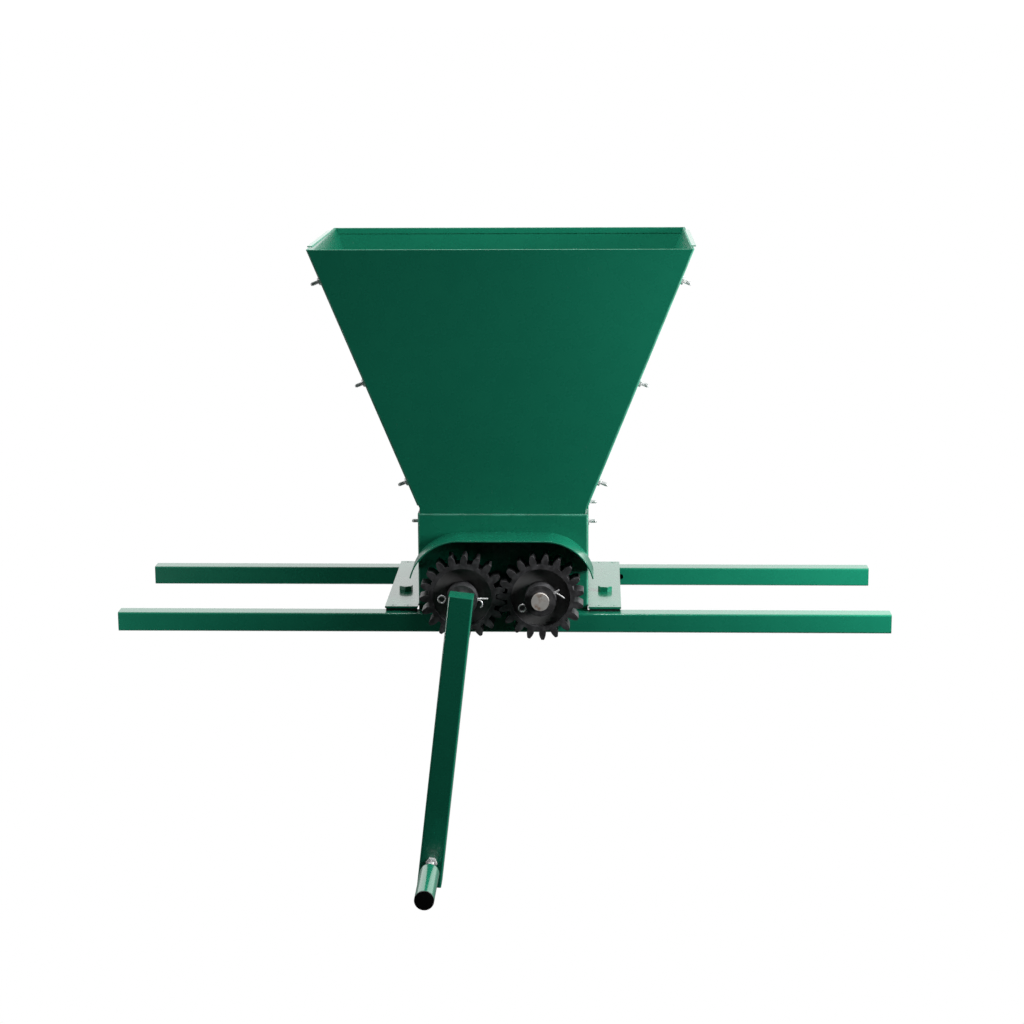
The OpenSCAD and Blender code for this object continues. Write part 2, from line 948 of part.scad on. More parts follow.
module gear_outline() {
    polygon([for (i = [0 : gear_teeth - 1], s = [-1, 1], j = [0 : flank_last])
        let (
            p = flank[s < 0 ? j : flank_last - j],
            a = i * 360 / gear_teeth + s * p[1])
        p[0] * [cos(a), sin(a)]]);
}

module gear_recess(start, depth) {
    along_front(start)
        difference() {
            cylinder(h = depth, r = root_r - gear_rim);
            translate([0, 0, -cut])
                cylinder(h = depth + 2 * cut, d = hub_d);
        }
}

module gear(side, phase, pin_turn) {
    recess = (gear_face - gear_web) / 2;
    color(cast_black)
        at_shaft(side)
            difference() {
                union() {
                    along_front(gear_back)
                        rotate(phase)
                            linear_extrude(gear_face)
                                gear_outline();
                    along_front(hub_back)
                        cylinder(h = hub_front - hub_back, d = hub_d);
                }
                gear_recess(gear_back - cut, recess + cut);
                gear_recess(gear_front - recess, recess + cut);
                along_front(hub_back - cut)
                    cylinder(h = hub_front - hub_back + 2 * cut, d = shaft_d + 2 * snug_gap);
                pin_hole(pin_turn);
            }
}

module drive_gear() {
    gear(-1, drive_phase, 0);
}

module driven_gear() {
    gear(1, driven_phase, driven_pin_turn);
}

// Split pin along local X at the hub's middle, with its eye on the -X side and its legs on the other
module split_pin(side, turn) {
    eye_reach = hub_d / 2 + pin_wire / 2 + pin_gap;
    leg_reach = hub_d / 2 + pin_wire;
    color(zinc)
        at_shaft(side)
            translate([0, -pin_y, 0])
                rotate([0, -turn, 0]) {
                    translate([-eye_reach, 0, 0])
                        rotate([0, 90, 0])
                            cylinder(h = eye_reach + leg_reach, d = pin_d);
                    translate([-eye_reach - pin_eye, 0, 0])
                        rotate([90, 0, 0])
                            rotate_extrude()
                                translate([pin_eye, 0])
                                    circle(d = pin_wire, $fn = wire_sides);
                    translate([leg_reach - pin_wire / 2, 0, 0])
                        children();
                }
}

module pin_leg_straight(lean, length) {
    rotate([0, 90 - lean, 0])
        cylinder(h = length, d = pin_wire, $fn = wire_sides);
}

module pin_leg_curled(curl_r) {
    translate([0, 0, -curl_r - pin_wire / 2])
        rotate([90, 0, 0])
            rotate([0, 0, 90 - pin_curl])
                rotate_extrude(angle = pin_curl)
                    translate([curl_r, 0])
                        circle(d = pin_wire, $fn = wire_sides);
}

module drive_gear_pin() {
    split_pin(-1, 0) {
        pin_leg_straight(0, pin_leg);
        pin_leg_curled(pin_eye + pin_wire / 2);
    }
}

module driven_gear_pin() {
    split_pin(1, driven_pin_turn) {
        pin_leg_straight(0, pin_leg / 2);
        pin_leg_straight(-pin_spread, pin_leg);
    }
}

// Crank and handle

// Hangs the crank from the drive shaft: local -Z runs down the arm
module on_crank() {
    at_shaft(-1)
        rotate([0, crank_turn, 0])
            children();
}

module at_handle(start) {
    on_crank()
        translate([0, 0, -crank_throw])
            along_front(start)
                children();
}

module crank_arm() {
    arm_length = arm_head + crank_throw + arm_tail;
    color(enamel)
        difference() {
            on_crank()
                translate([0, -(arm_back + arm_front) / 2, -crank_throw - arm_tail])
                    difference() {
                        linear_extrude(arm_length)
                            rounded_square(arm_size, arm_corner);
                        translate([0, 0, -cut])
                            linear_extrude(arm_length - arm_wall + cut)
                                square(arm_size - 2 * arm_wall, center = true);
                    }
            at_shaft(-1)
                along_front(arm_back - cut)
                    cylinder(h = arm_wall + 2 * cut, d = shaft_d + 2 * snug_gap);
            at_handle(arm_back - cut)
                cylinder(h = arm_size + 2 * cut, d = handle_bolt_d + 2 * snug_gap);
        }
}

module handle_bolt() {
    color(zinc)
        at_handle(arm_back)
            hex_bolt(handle_bolt_d, handle_nut_af, handle_head_h,
                inner_nut_back + handle_nut_h + handle_bolt_tail - arm_back);
}

module handle_nuts() {
    color(zinc) {
        at_handle(arm_front)
            hex_nut(handle_nut_af, handle_nut_h, handle_bolt_d);
        at_handle(handle_stop)
            hex_nut(handle_nut_af, handle_nut_h, handle_bolt_d);
        at_handle(inner_nut_back)
            hex_nut(handle_nut_af, handle_nut_h, handle_bolt_d);
    }
}

module handle_tube() {
    handle_r = handle_d / 2;
    color(enamel)
        at_handle(handle_back)
            difference() {
                union() {
                    translate([0, 0, handle_round])
                        cylinder(h = handle_length - handle_round, d = handle_d);
                    cylinder(h = handle_end, r = handle_r - handle_round);
                    translate([0, 0, handle_round])
                        rotate_extrude()
                            intersection() {
                                translate([handle_r - handle_round, 0])
                                    circle(handle_round);
                                translate([0, -handle_round])
                                    square([handle_r, 2 * handle_round]);
                            }
                }
                translate([0, 0, -cut])
                    cylinder(h = handle_length, d = handle_bolt_d + 2 * running_gap);
                translate([0, 0, handle_end])
                    cylinder(h = handle_length, d = handle_d - 2 * handle_wall);
            }
}

module handle_plug() {
    color(plug_black)
        at_handle(handle_front - plug_length) {
            cylinder(h = plug_length + cut, d = handle_d - 2 * handle_wall - 2 * snug_gap);
            translate([0, 0, plug_length])
                cylinder(h = plug_cap, d = handle_d);
        }
}

front_rail();
rear_rail();
front_plate();
rear_plate();
left_side_plate();
right_side_plate();
flange_spacers();
flange_screws();
flange_bolts();
flange_nuts();
gear_hood();
hopper_front_panel();
hopper_rear_panel();
hopper_left_panel();
hopper_right_panel();
hopper_bolts();
hopper_nuts();
box_bolts();
box_nuts();
left_front_bush();
right_front_bush();
left_rear_bush();
right_rear_bush();
drive_shaft();
drive_roller();
drive_roller_screw();
drive_gear();
drive_gear_pin();
driven_shaft();
driven_roller();
driven_roller_screw();
driven_gear();
driven_gear_pin();
crank_arm();
handle_bolt();
handle_nuts();
handle_tube();
handle_plug();
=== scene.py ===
import math

import bmesh
import bpy
from bmesh.types import BMEdge, BMVert
from bpy.props import FloatProperty, FloatVectorProperty, PointerProperty
from mathutils import Matrix, Vector


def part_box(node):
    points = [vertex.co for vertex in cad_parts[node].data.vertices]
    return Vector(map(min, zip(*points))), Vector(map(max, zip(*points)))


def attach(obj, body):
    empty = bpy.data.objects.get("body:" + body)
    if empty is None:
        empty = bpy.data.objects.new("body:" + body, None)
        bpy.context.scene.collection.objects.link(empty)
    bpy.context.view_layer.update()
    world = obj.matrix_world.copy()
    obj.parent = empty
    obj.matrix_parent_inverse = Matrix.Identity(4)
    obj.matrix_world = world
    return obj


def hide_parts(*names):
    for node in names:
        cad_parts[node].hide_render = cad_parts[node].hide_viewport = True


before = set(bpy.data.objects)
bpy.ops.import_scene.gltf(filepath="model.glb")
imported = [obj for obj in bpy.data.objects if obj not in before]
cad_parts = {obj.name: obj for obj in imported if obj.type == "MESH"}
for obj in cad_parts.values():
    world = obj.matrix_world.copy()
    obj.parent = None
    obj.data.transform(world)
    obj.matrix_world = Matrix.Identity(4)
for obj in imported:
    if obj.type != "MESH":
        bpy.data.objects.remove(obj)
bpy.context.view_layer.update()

bl_info = {
    "name": "Grape crusher",
    "version": (1, 0, 0),
    "blender": (4, 5, 0),
    "location": "View3D > Sidebar > Crusher",
    "description": "Dresses the frame of a hand-cranked grape crusher",
    "category": "Object",
}

MM = 0.001
FULL_TURN = 2 * math.pi
TOUCHING = 1e-6
MERGE_GAP = 0.002 * MM
SLIVER_WIDTH = 0.001 * MM
FLAT_ANGLE = math.radians(0.4)
SHADE_ANGLE = math.radians(50)
CASTING_ANGLE = math.radians(50)
SHEET_ANGLE = math.radians(60)
FACING = 0.9
HEX_CUTS = 5
CHAMFER_SLOPE = 0.55
SINK_SLOPE = 0.9
WIRE_STEP = 12


# Places read from the frame

PLATE_LOW, PLATE_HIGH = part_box("front_plate")
SIDE_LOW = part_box("right_side_plate")[0]
PANEL_LOW, PANEL_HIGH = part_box("hopper_front_panel")
PANEL_SIDE_LOW, PANEL_SIDE_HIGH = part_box("hopper_right_panel")
HOOD_LOW, HOOD_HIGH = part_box("gear_hood")
SHAFT_LOW, SHAFT_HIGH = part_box("driven_shaft")
SHAFT_X = (SHAFT_LOW.x + SHAFT_HIGH.x) / 2
SHAFT_Z = (SHAFT_LOW.z + SHAFT_HIGH.z) / 2
SHAFT_RADIUS = (SHAFT_HIGH.x - SHAFT_LOW.x) / 2
BOX_TOP = PLATE_HIGH.z
HOPPER_TOP = PANEL_HIGH.z


# Properties

def number(name, description, value, unit="NONE"):
    return FloatProperty(name=name, description=description, default=value, unit=unit, precision=5)


def length(name, description, value):
    return number(name, description, value, "LENGTH")


def tint(name, description, value):
    return FloatVectorProperty(
        name=name, description=description, default=value, size=3, min=0, max=1, subtype="COLOR")


class CrusherSizes(bpy.types.PropertyGroup):
    hopper_sheet: length("Hopper sheet", "Thickness of the hopper's panels", 1.2 * MM)
    box_sheet: length("Box sheet", "Thickness of the roller box's plates", 2 * MM)
    hood_sheet: length("Hood sheet", "Thickness of the gear hood", 1.5 * MM)
    hood_spread: length("Hood spread", "Distance of the hood's arc centres beyond the shafts", 4 * MM)
    fold_radius: length("Fold radius", "Outside radius of the folds in the hopper's sheet", 2 * MM)
    plate_fold_radius: length("Plate fold radius", "Outside radius of the folds in the box's plates", 3 * MM)
    cut_edge: length("Cut edge", "Rounding of the sheets' cut edges", 0.3 * MM)
    return_width: length("Return width", "Width of the returns on the hopper's front and rear panels", 30 * MM)
    return_start: length("Return start", "Height of the returns' lower ends above the box", 8 * MM)
    hem_height: length("Hem height", "Height of the folded hem along the hopper's mouth", 6 * MM)
    hem_step: length("Hem step", "Thickness that the hem, pressed flat, adds inside the panels", 0.5 * MM)
    panel_gap: length("Panel gap", "Gap between neighbouring hopper panels", 0.2 * MM)
    lip_end_gap: length("Lip end gap", "Gap between the ends of a lip and the returns", 6 * MM)
    hub_nose: length("Hub nose", "Length of the gears' hubs in front of the teeth", 13 * MM)
    hub_radius: length("Hub radius", "Radius of the gears' hubs", 16 * MM)
    casting_edge: length("Casting edge", "Rounding of the gears' edges", 0.45 * MM)
    small_thread: length("Small thread", "Thread diameter of the hopper and box bolts", 4 * MM)
    small_pitch: length("Small pitch", "Thread pitch of the hopper and box bolts", 0.7 * MM)
    small_flats: length("Small flats", "Width across the flats of the hopper and box nuts", 7 * MM)
    small_head: length("Small head", "Height of the hopper and box bolts' heads", 2.4 * MM)
    handle_thread: length("Handle thread", "Thread diameter of the handle's bolt", 6 * MM)
    handle_pitch: length("Handle pitch", "Thread pitch of the handle's bolt", 1 * MM)
    handle_flats: length("Handle flats", "Width across the flats of the handle's bolt and nuts", 10 * MM)
    handle_head: length("Handle head", "Height of the head of the handle's bolt", 4 * MM)
    flange_thread: length("Flange thread", "Thread diameter of the upright bolts in the flanges", 8 * MM)
    flange_pitch: length("Flange pitch", "Thread pitch of the upright bolts in the flanges", 1.25 * MM)
    flange_flats: length("Flange flats", "Width across the flats of the upright bolts and their nuts", 13 * MM)
    flange_head: length("Flange head", "Height of the upright bolts' heads", 5.5 * MM)
    pin_wire: length("Split pin wire", "Wire diameter of the split pins", 1.6 * MM)
    pin_eye: length("Split pin eye", "Radius of a split pin's eye to the middle of its wire", 3.6 * MM)
    pin_neck: length("Split pin neck", "Radius of the bends between a split pin's eye and its legs", 0.9 * MM)
    pin_stem: length("Split pin stem", "Distance of a split pin's legs from its axis", 0.75 * MM)
    crank_edge: length("Crank edge", "Rounding of the crank tube's edges", 0.5 * MM)
    weld_bead: length("Weld bead", "Radius of the bead between the crank and its shaft", 1.4 * MM)
    handle_wall: length("Handle wall", "Thickness of the handle's tube", 1.5 * MM)
    handle_nose: length("Handle nose", "Radius of the handle's rounded inner end", 9 * MM)
    handle_end: length("Handle end", "Depth of the solid inner end of the handle", 10 * MM)
    handle_hole: length("Handle hole", "Radius of the hole for the bolt in the handle's inner end", 3.06 * MM)


class CrusherColours(bpy.types.PropertyGroup):
    enamel: tint("Enamel", "Green enamel of the sheet and tube", (0.005, 0.155, 0.088))
    scratch: tint("Scratch", "Pale scratches in the enamel", (0.10, 0.24, 0.19))
    # Paler green on the rounded edges: partly worn enamel, partly a painted highlight for the light lines that edges
    # catch
    worn_and_highlit_enamel: tint("Worn enamel", "Thin enamel along the edges", (0.05, 0.30, 0.21))
    zinc: tint("Zinc", "Zinc plate of the bolts, nuts and pins", (0.74, 0.75, 0.76))
    tarnish: tint("Tarnish", "Yellowish tinge of the zinc plate", (0.60, 0.58, 0.50))
    iron: tint("Iron", "Black paint of the cast gears", (0.030, 0.030, 0.032))
    # Painted light: a paler grey laid into the gears' recessed pockets, in place of the light their shade keeps out
    dust: tint("Dust", "Grey dust in the gears' pockets", (0.13, 0.13, 0.13))
    worn_iron: tint("Worn iron", "Bare metal along the gears' edges", (0.20, 0.195, 0.19))
    steel: tint("Steel", "Bare steel of the shafts", (0.68, 0.66, 0.63))
    rust: tint("Stain", "Brown stain on the bare steel", (0.30, 0.19, 0.12))
    aluminium: tint("Aluminium", "Cast aluminium of the rollers", (0.60, 0.61, 0.62))
    pit: tint("Pit", "Dark pits in the cast aluminium", (0.12, 0.12, 0.12))
    bronze: tint("Bronze", "Bronze of the bushes", (0.45, 0.30, 0.14))
    # Black of the handle's plug; on the strips under the flanges it is painted shade, a dark sheet where the gap lies
    # in shadow
    plastic: tint("Plastic", "Black plastic of the handle's plug and the spacer strips", (0.003, 0.003, 0.003))
    floor: tint("Floor", "Pale floor under the crusher", (0.90, 0.90, 0.90))


class CrusherStage(bpy.types.PropertyGroup):
    floor_drop: length("Floor drop", "Depth of the floor below the rails", 1.2)
    floor_radius: length("Floor radius", "Radius of the round floor", 0.6)
    floor_back: length("Floor back", "How far back the floor's middle lies", 0.3)
    lens: number("Lens", "Focal length of the camera in millimetres", 81.1, "CAMERA")
    key_power: number("Key light", "Power of the soft light on the right", 14.5, "POWER")
    fill_power: number("Fill light", "Power of the soft light on the left", 1.1, "POWER")
    top_power: number("Top light", "Power of the soft light above the hopper", 8.0, "POWER")
    sky: number("Sky", "Brightness of the studio behind the crusher", 1.3)
    ceiling: number("Ceiling", "Brightness of the studio above the crusher", 0.2)
    haze: number("Haze", "Brightness of the studio low behind the crusher", 0.18)
    room: number("Room", "Brightness of the studio on the camera's side", 0.01)


# Shader maths

class Signal:
    """One socket of a material's nodes, with arithmetic that adds Math nodes."""

    def __init__(self, tree, socket=None):
        self.tree = tree
        self.socket = socket

    def add(self, kind, settings=None, inputs=None, output=0):
        """Adds a node, sets it up, feeds its inputs and returns one of its outputs."""
        node = self.tree.nodes.new(kind)
        for key, value in (settings or {}).items():
            setattr(node, key, value)
        for key, value in (inputs or {}).items():
            if isinstance(value, Signal):
                self.tree.links.new(value.socket, node.inputs[key])
            else:
                node.inputs[key].default_value = value
        return Signal(self.tree, node.outputs[output])

    def maths(self, operation, first, second):
        return self.add("ShaderNodeMath", {"operation": operation}, {0: first, 1: second})

    def __add__(self, other):
        return self.maths("ADD", self, other)

    def __sub__(self, other):
        return self.maths("SUBTRACT", self, other)

    def __rsub__(self, other):
        return self.maths("SUBTRACT", other, self)

    def __mul__(self, other):
        return self.maths("MULTIPLY", self, other)

    __radd__ = __add__
    __rmul__ = __mul__

    def ramp(self, low, high, start=0.0, end=1.0):
        """Maps low..high smoothly on start..end."""
        return self.add(
            "ShaderNodeMapRange", {"interpolation_type": "SMOOTHSTEP"},
            {"Value": self, "From Min": low, "From Max": high, "To Min": start, "To Max": end})

    def blend(self, first, second):
        """Mixes two colours by this value."""
        return self.add(
            "ShaderNodeMix", {"data_type": "RGBA"},
            {0: self, 6: paint(first), 7: paint(second)}, 2)

    def noise(self, scale, detail, stretch=(1, 1, 1)):
        """Noise on the object's own coordinates."""
        place = self.add("ShaderNodeMapping", None, {"Vector": self, "Scale": stretch})
        return self.add(
            "ShaderNodeTexNoise", None, {"Vector": place, "Scale": scale, "Detail": detail, "Roughness": 0.55})

    def mark(self, name):
        """A value marked on a piece's faces, such as the mask of its rounded edges."""
        return self.add("ShaderNodeAttribute", {"attribute_name": name}, None, "Fac")

    def bump(self, height, distance, strength, under=None):
        """Turns a height into a normal, over another normal where one is given."""
        feeds = {"Height": height, "Distance": distance, "Strength": strength}
        if under:
            feeds["Normal"] = under
        return self.add("ShaderNodeBump", None, feeds)


def paint(colour):
    """A colour as a shader socket takes it."""
    return colour if isinstance(colour, Signal) else (*colour, 1)


def new_finish(name):
    """Starts a material and returns its object coordinates."""
    material = bpy.data.materials.new(name + "_finish")
    material.use_nodes = True
    material.node_tree.nodes.clear()
    return Signal(material.node_tree).add("ShaderNodeTexCoord", None, None, "Object")


def close_finish(place, **sockets):
    """Ends a material with one shader, whose sockets are named with underscores."""
    shader = place.add(
        "ShaderNodeBsdfPrincipled", None,
        {key.replace("_", " "): paint(value) if key == "Base_Color" else value for key, value in sockets.items()})
    output = place.tree.nodes.new("ShaderNodeOutputMaterial")
    place.tree.links.new(shader.socket, output.inputs["Surface"])


def shade(colour, factor):
    """A colour made lighter or darker."""
    return tuple(min(1.0, channel * factor) for channel in colour)


def make_enamel(colours):
    place = new_finish("green_enamel")
    wear = place.mark("wear")
    cloud = place.noise(7, 2)
    mottle = place.noise(60, 3)
    peel = place.noise(330, 2)
    grit = place.noise(1400, 2)
    hair = place.noise(900, 1, (1, 0.02, 0.25))
    hair_place = place.noise(26, 2)
    scratch = hair.ramp(0.72, 0.76) * hair_place.ramp(0.60, 0.70)
    tone = (0.6 * cloud + 0.4 * mottle).ramp(0.25, 0.75)
    body = tone.blend(shade(colours.enamel, 0.95), shade(colours.enamel, 1.05))
    scuffed = (0.25 * scratch).blend(body, colours.scratch)
    # Paler edges: wear, and a painted highlight standing in for the light the rounded edges catch
    edged = (0.35 * wear * mottle.ramp(0.4, 0.6)).blend(scuffed, colours.worn_and_highlit_enamel)
    roughness = 0.26 + 0.03 * mottle.ramp(0.2, 0.8) + 0.25 * scratch + 0.3 * wear
    fine = place.bump(grit, 0.01 * MM, 0.5)
    close_finish(
        place, Base_Color=edged, Roughness=roughness, IOR=1.5, Coat_Weight=0.6 - 0.5 * wear, Coat_Roughness=0.06,
        Normal=place.bump(peel, 0.025 * MM, 0.6, fine))


def make_zinc(colours):
    place = new_finish("zinc_plate")
    spangle = place.noise(500, 3)
    cloud = place.noise(120, 2)
    body = cloud.ramp(0.35, 0.65).blend(shade(colours.zinc, 0.82), colours.zinc)
    tinged = (0.5 * spangle.ramp(0.5, 0.7)).blend(body, colours.tarnish)
    roughness = 0.24 + 0.22 * spangle.ramp(0.3, 0.7)
    close_finish(
        place, Base_Color=tinged, Metallic=0.4, Roughness=roughness,
        Normal=place.bump(spangle, 0.03 * MM, 0.6))


def make_iron(colours):
    place = new_finish("black_cast_iron")
    wear = place.mark("wear")
    grain = place.noise(700, 4)
    lumps = place.noise(160, 3)
    rubbed = wear * place.noise(240, 3).ramp(0.36, 0.56)
    body = lumps.ramp(0.35, 0.7).blend(shade(colours.iron, 0.7), shade(colours.iron, 1.9))
    # Painted light: faces marked deep in the pockets take the paler grey, standing in for light on the shaded web
    pocket_lit_body = place.mark("dust").blend(body, colours.dust)
    worn = rubbed.blend(pocket_lit_body, colours.worn_iron)
    roughness = 0.4 + 0.2 * grain.ramp(0.3, 0.7)
    sand = place.bump(grain, 0.12 * MM, 0.7)
    close_finish(
        place, Base_Color=worn, Metallic=0.7 * rubbed, Roughness=roughness,
        Normal=place.bump(lumps, 0.25 * MM, 0.6, sand))


def make_steel(colours):
    place = new_finish("bare_steel")
    rings = place.noise(1100, 2, (0.05, 1, 0.05))
    stain = place.noise(140, 4)
    body = rings.ramp(0.3, 0.7).blend(shade(colours.steel, 0.8), colours.steel)
    stained = stain.ramp(0.5, 0.74).blend(body, colours.rust)
    roughness = 0.30 + 0.30 * stain.ramp(0.4, 0.7)
    close_finish(
        place, Base_Color=stained, Metallic=0.25, Roughness=roughness,
        Normal=place.bump(rings, 0.04 * MM, 0.7))


def make_aluminium(colours):
    place = new_finish("cast_aluminium")
    grain = place.noise(600, 4)
    cloud = place.noise(45, 3)
    pits = place.noise(380, 2).ramp(0.66, 0.72)
    body = cloud.ramp(0.35, 0.65).blend(shade(colours.aluminium, 0.78), colours.aluminium)
    pitted = (0.6 * pits).blend(body, colours.pit)
    close_finish(
        place, Base_Color=pitted, Metallic=1.0, Roughness=0.36 + 0.2 * grain.ramp(0.3, 0.7),
        Normal=place.bump(grain - pits, 0.1 * MM, 0.7))


def make_bronze(colours):
    place = new_finish("bush_bronze")
    rings = place.noise(900, 2, (0.1, 1, 0.1))
    cloud = place.noise(150, 3)
    body = cloud.ramp(0.35, 0.65).blend(shade(colours.bronze, 0.65), colours.bronze)
    close_finish(
        place, Base_Color=body, Metallic=1.0, Roughness=0.28 + 0.2 * cloud.ramp(0.3, 0.7),
        Normal=place.bump(rings, 0.03 * MM, 0.7))


# Black finish of the handle's plug, also used as painted shade on the strips under the flanges
def make_plug_and_shade_black(colours):
    place = new_finish("black_plastic")
    grain = place.noise(1800, 2)
    scuff = place.noise(300, 4, (1, 1, 0.3))
    body = scuff.ramp(0.55, 0.75).blend(colours.plastic, shade(colours.plastic, 3))
    close_finish(
        place, Base_Color=body, Roughness=0.42 + 0.15 * scuff.ramp(0.3, 0.7),
        Normal=place.bump(grain, 0.04 * MM, 0.6))


# Shaping and placing

def facing(origin, direction, corner=None):
    """Matrix that carries a shape drawn along +Z to a place and direction; its +Y side turns to the corner."""
    up = Vector(direction).normalized()
    turn = Vector((0, 0, 1)).rotation_difference(up).to_matrix()
    if corner:
        turn = Matrix((corner.cross(up), corner, up)).transposed()
    return Matrix.Translation(origin) @ turn.to_4x4()


def only(kind, items):
    """The corners or the edges among the items that a bmesh operator made."""
    return [item for item in items if isinstance(item, kind)]


def steep_edges(bm, angle=SHEET_ANGLE):
    """Edges where the faces turn by more than an angle."""
    return [edge for edge in bm.edges if edge.is_manifold and edge.calc_face_angle(0) > angle]


def edges_at(bm, fits):
    """Edges whose two corners both lie where a test says."""
    return [edge for edge in bm.edges if all(fits(vert.co) for vert in edge.verts)]


def bevel(bm, edges, radius, segments):
    """Rounds edges and returns the new faces."""
    return bmesh.ops.bevel(
        bm, geom=edges, offset=radius, offset_type="OFFSET", segments=segments, profile=0.5,
        affect="EDGES", clamp_overlap=True, material=-1)["faces"]


def round_off(bm, edges, radius, segments=2):
    """Rounds edges and marks the new faces in the edge mask."""
    wear = bm.faces.layers.float.get("wear") or bm.faces.layers.float.new("wear")
    for face in bevel(bm, edges, radius, segments):
        face[wear] = 1


def new_object(bm, name, finish):
    """Object of a shape with its finish."""
    mesh = bpy.data.meshes.new(name)
    bm.to_mesh(mesh)
    bm.free()
    mesh.materials.append(bpy.data.materials[finish + "_finish"])
    made = bpy.data.objects.new(name, mesh)
    bpy.context.scene.collection.objects.link(made)
    return made


def settle(bm, name, finish, body, *nodes):
    """Ends a piece: no empty faces, smooth shading, finish, the body it rides on and the nodes it stands for."""
    bmesh.ops.dissolve_degenerate(bm, dist=SLIVER_WIDTH, edges=bm.edges)
    slivers = [face for face in bm.faces if any(edge.is_boundary for edge in face.edges)]
    bmesh.ops.delete(bm, geom=slivers, context="FACES")
    piece = new_object(bm, name, finish)
    piece.data.polygons.foreach_set("use_smooth", [True] * len(piece.data.polygons))
    piece.data.set_sharp_from_angle(angle=SHADE_ANGLE)
    weighted = piece.modifiers.new("even_faces", "WEIGHTED_NORMAL")
    weighted.keep_sharp = True
    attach(piece, body)
    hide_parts(*nodes)


def dress(finish, *nodes):
    """Gives carried-over nodes their finish."""
    for node in nodes:
        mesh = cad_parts[node].data
        mesh.materials.clear()
        mesh.materials.append(bpy.data.materials[finish + "_finish"])


def merged(node):
    """Copy of a node with its double corners joined."""
    bm = bmesh.new()
    bm.from_mesh(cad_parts[node].data)
    bmesh.ops.remove_doubles(bm, verts=bm.verts, dist=MERGE_GAP)
    return bm


def solid_copy(node):
    """Merged copy of a node with its flat faces joined."""
    bm = merged(node)
    bmesh.ops.dissolve_limit(
        bm, angle_limit=FLAT_ANGLE, use_dissolve_boundaries=False, verts=bm.verts, edges=bm.edges)
    return bm


def solids_along(node, direction):
    """Place with axis and corner, length and width of each solid of a group along its own axis."""
    bm = merged(node)
    places = []
    seen = set()
    for first in bm.verts:
        if first in seen:
            continue
        seen.add(first)
        solid = [first]
        for vert in solid:
            grown = [edge.other_vert(vert) for edge in vert.link_edges]
            solid += [other for other in grown if other not in seen]
            seen.update(grown)
        middle = sum((vert.co for vert in solid), Vector()) / len(solid)
        axis = Vector(direction(middle)).normalized()
        turn = axis.rotation_difference(Vector((0, 0, 1))).to_matrix()
        local = [turn @ vert.co for vert in solid]
        low = Vector(map(min, zip(*local)))
        high = Vector(map(max, zip(*local)))
        centre = (low + high) / 2
        back = turn.transposed()
        corner = back @ max(((point - centre).xy.to_3d() for point in local), key=lambda reach: reach.length)
        start = back @ Vector((centre.x, centre.y, low.z))
        places.append((facing(start, axis, corner.normalized()), high.z - low.z, high.y - low.y))
    bm.free()
    return places


def join(bm, part, place):
    """Adds a shape to a piece at a place."""
    mesh = bpy.data.meshes.new("part")
    part.to_mesh(mesh)
    part.free()
    mesh.transform(place)
    bm.from_mesh(mesh)
    bpy.data.meshes.remove(mesh)


def lathe(profile, steps=32):
    """Turns a profile of [radius, height] points round Z."""
    bm = bmesh.new()
    verts = [bm.verts.new((radius, 0, height)) for radius, height in profile]
    edges = [bm.edges.new(pair) for pair in zip(verts, verts[1:])]
    bmesh.ops.spin(
        bm, geom=verts + edges, cent=(0, 0, 0), axis=(0, 0, 1), dvec=(0, 0, 0), angle=FULL_TURN,
        steps=steps, use_merge=True)
    bmesh.ops.remove_doubles(bm, verts=bm.verts, dist=TOUCHING)
    bmesh.ops.recalc_face_normals(bm, faces=bm.faces)
    return bm


def thread_profile(diameter, pitch, start, end):
    """Zigzag profile of a thread with a pointed lead at its end."""
    crest = diameter / 2
    root = crest - 0.6 * pitch
    turns = max(1, int((end - start) / pitch) - 1)
    profile = []
    for turn in range(turns):
        profile += [(root, start + turn * pitch), (crest, start + (turn + 0.5) * pitch)]
    return profile + [(root, start + turns * pitch), (root - 0.3 * pitch, end), (0, end)]


def hexagon(flats, height):
    """Six-sided block round Z, with the middle of its height at z = 0."""
    bm = bmesh.new()
    corner = flats / math.sqrt(3)
    bmesh.ops.create_cone(
        bm, cap_ends=True, cap_tris=False, segments=6, radius1=corner, radius2=corner, depth=height)
    return bm


def inset_round(bm, caps, flats, radius):
    """Insets end faces and moves their corners to one radius round Z."""
    bmesh.ops.inset_individual(bm, faces=caps, thickness=0.01 * flats, depth=0)
    for cap in caps:
        for vert in cap.verts:
            reach = radius / vert.co.xy.length
            vert.co.x *= reach
            vert.co.y *= reach


def nut(flats, height, bore):
    """Hex nut along +Z with chamfered corners and a countersunk bore."""
    bm = hexagon(flats, height)
    rims = [edge for edge in bm.edges if abs(edge.verts[0].co.z - edge.verts[1].co.z) < TOUCHING]
    bmesh.ops.subdivide_edges(bm, edges=rims, cuts=HEX_CUTS)
    chamfer = 0.485 * flats
    sink = bore / 2 + 0.06 * flats
    for radius in (chamfer, bore / 2 + 0.12 * flats, bore / 2):
        caps = [face for face in bm.faces if len(face.verts) > 6]
        inset_round(bm, caps, flats, radius)
    for vert in bm.verts:
        beyond = max(0.0, vert.co.xy.length - chamfer)
        within = max(0.0, sink - vert.co.xy.length)
        vert.co.z -= math.copysign(CHAMFER_SLOPE * beyond + SINK_SLOPE * within, vert.co.z)
    bmesh.ops.bridge_loops(bm, edges=[edge for cap in caps for edge in cap.edges])
    bmesh.ops.delete(bm, geom=caps, context="FACES_ONLY")
    bmesh.ops.translate(bm, verts=bm.verts, vec=(0, 0, height / 2))
    bmesh.ops.recalc_face_normals(bm, faces=bm.faces)
    return bm


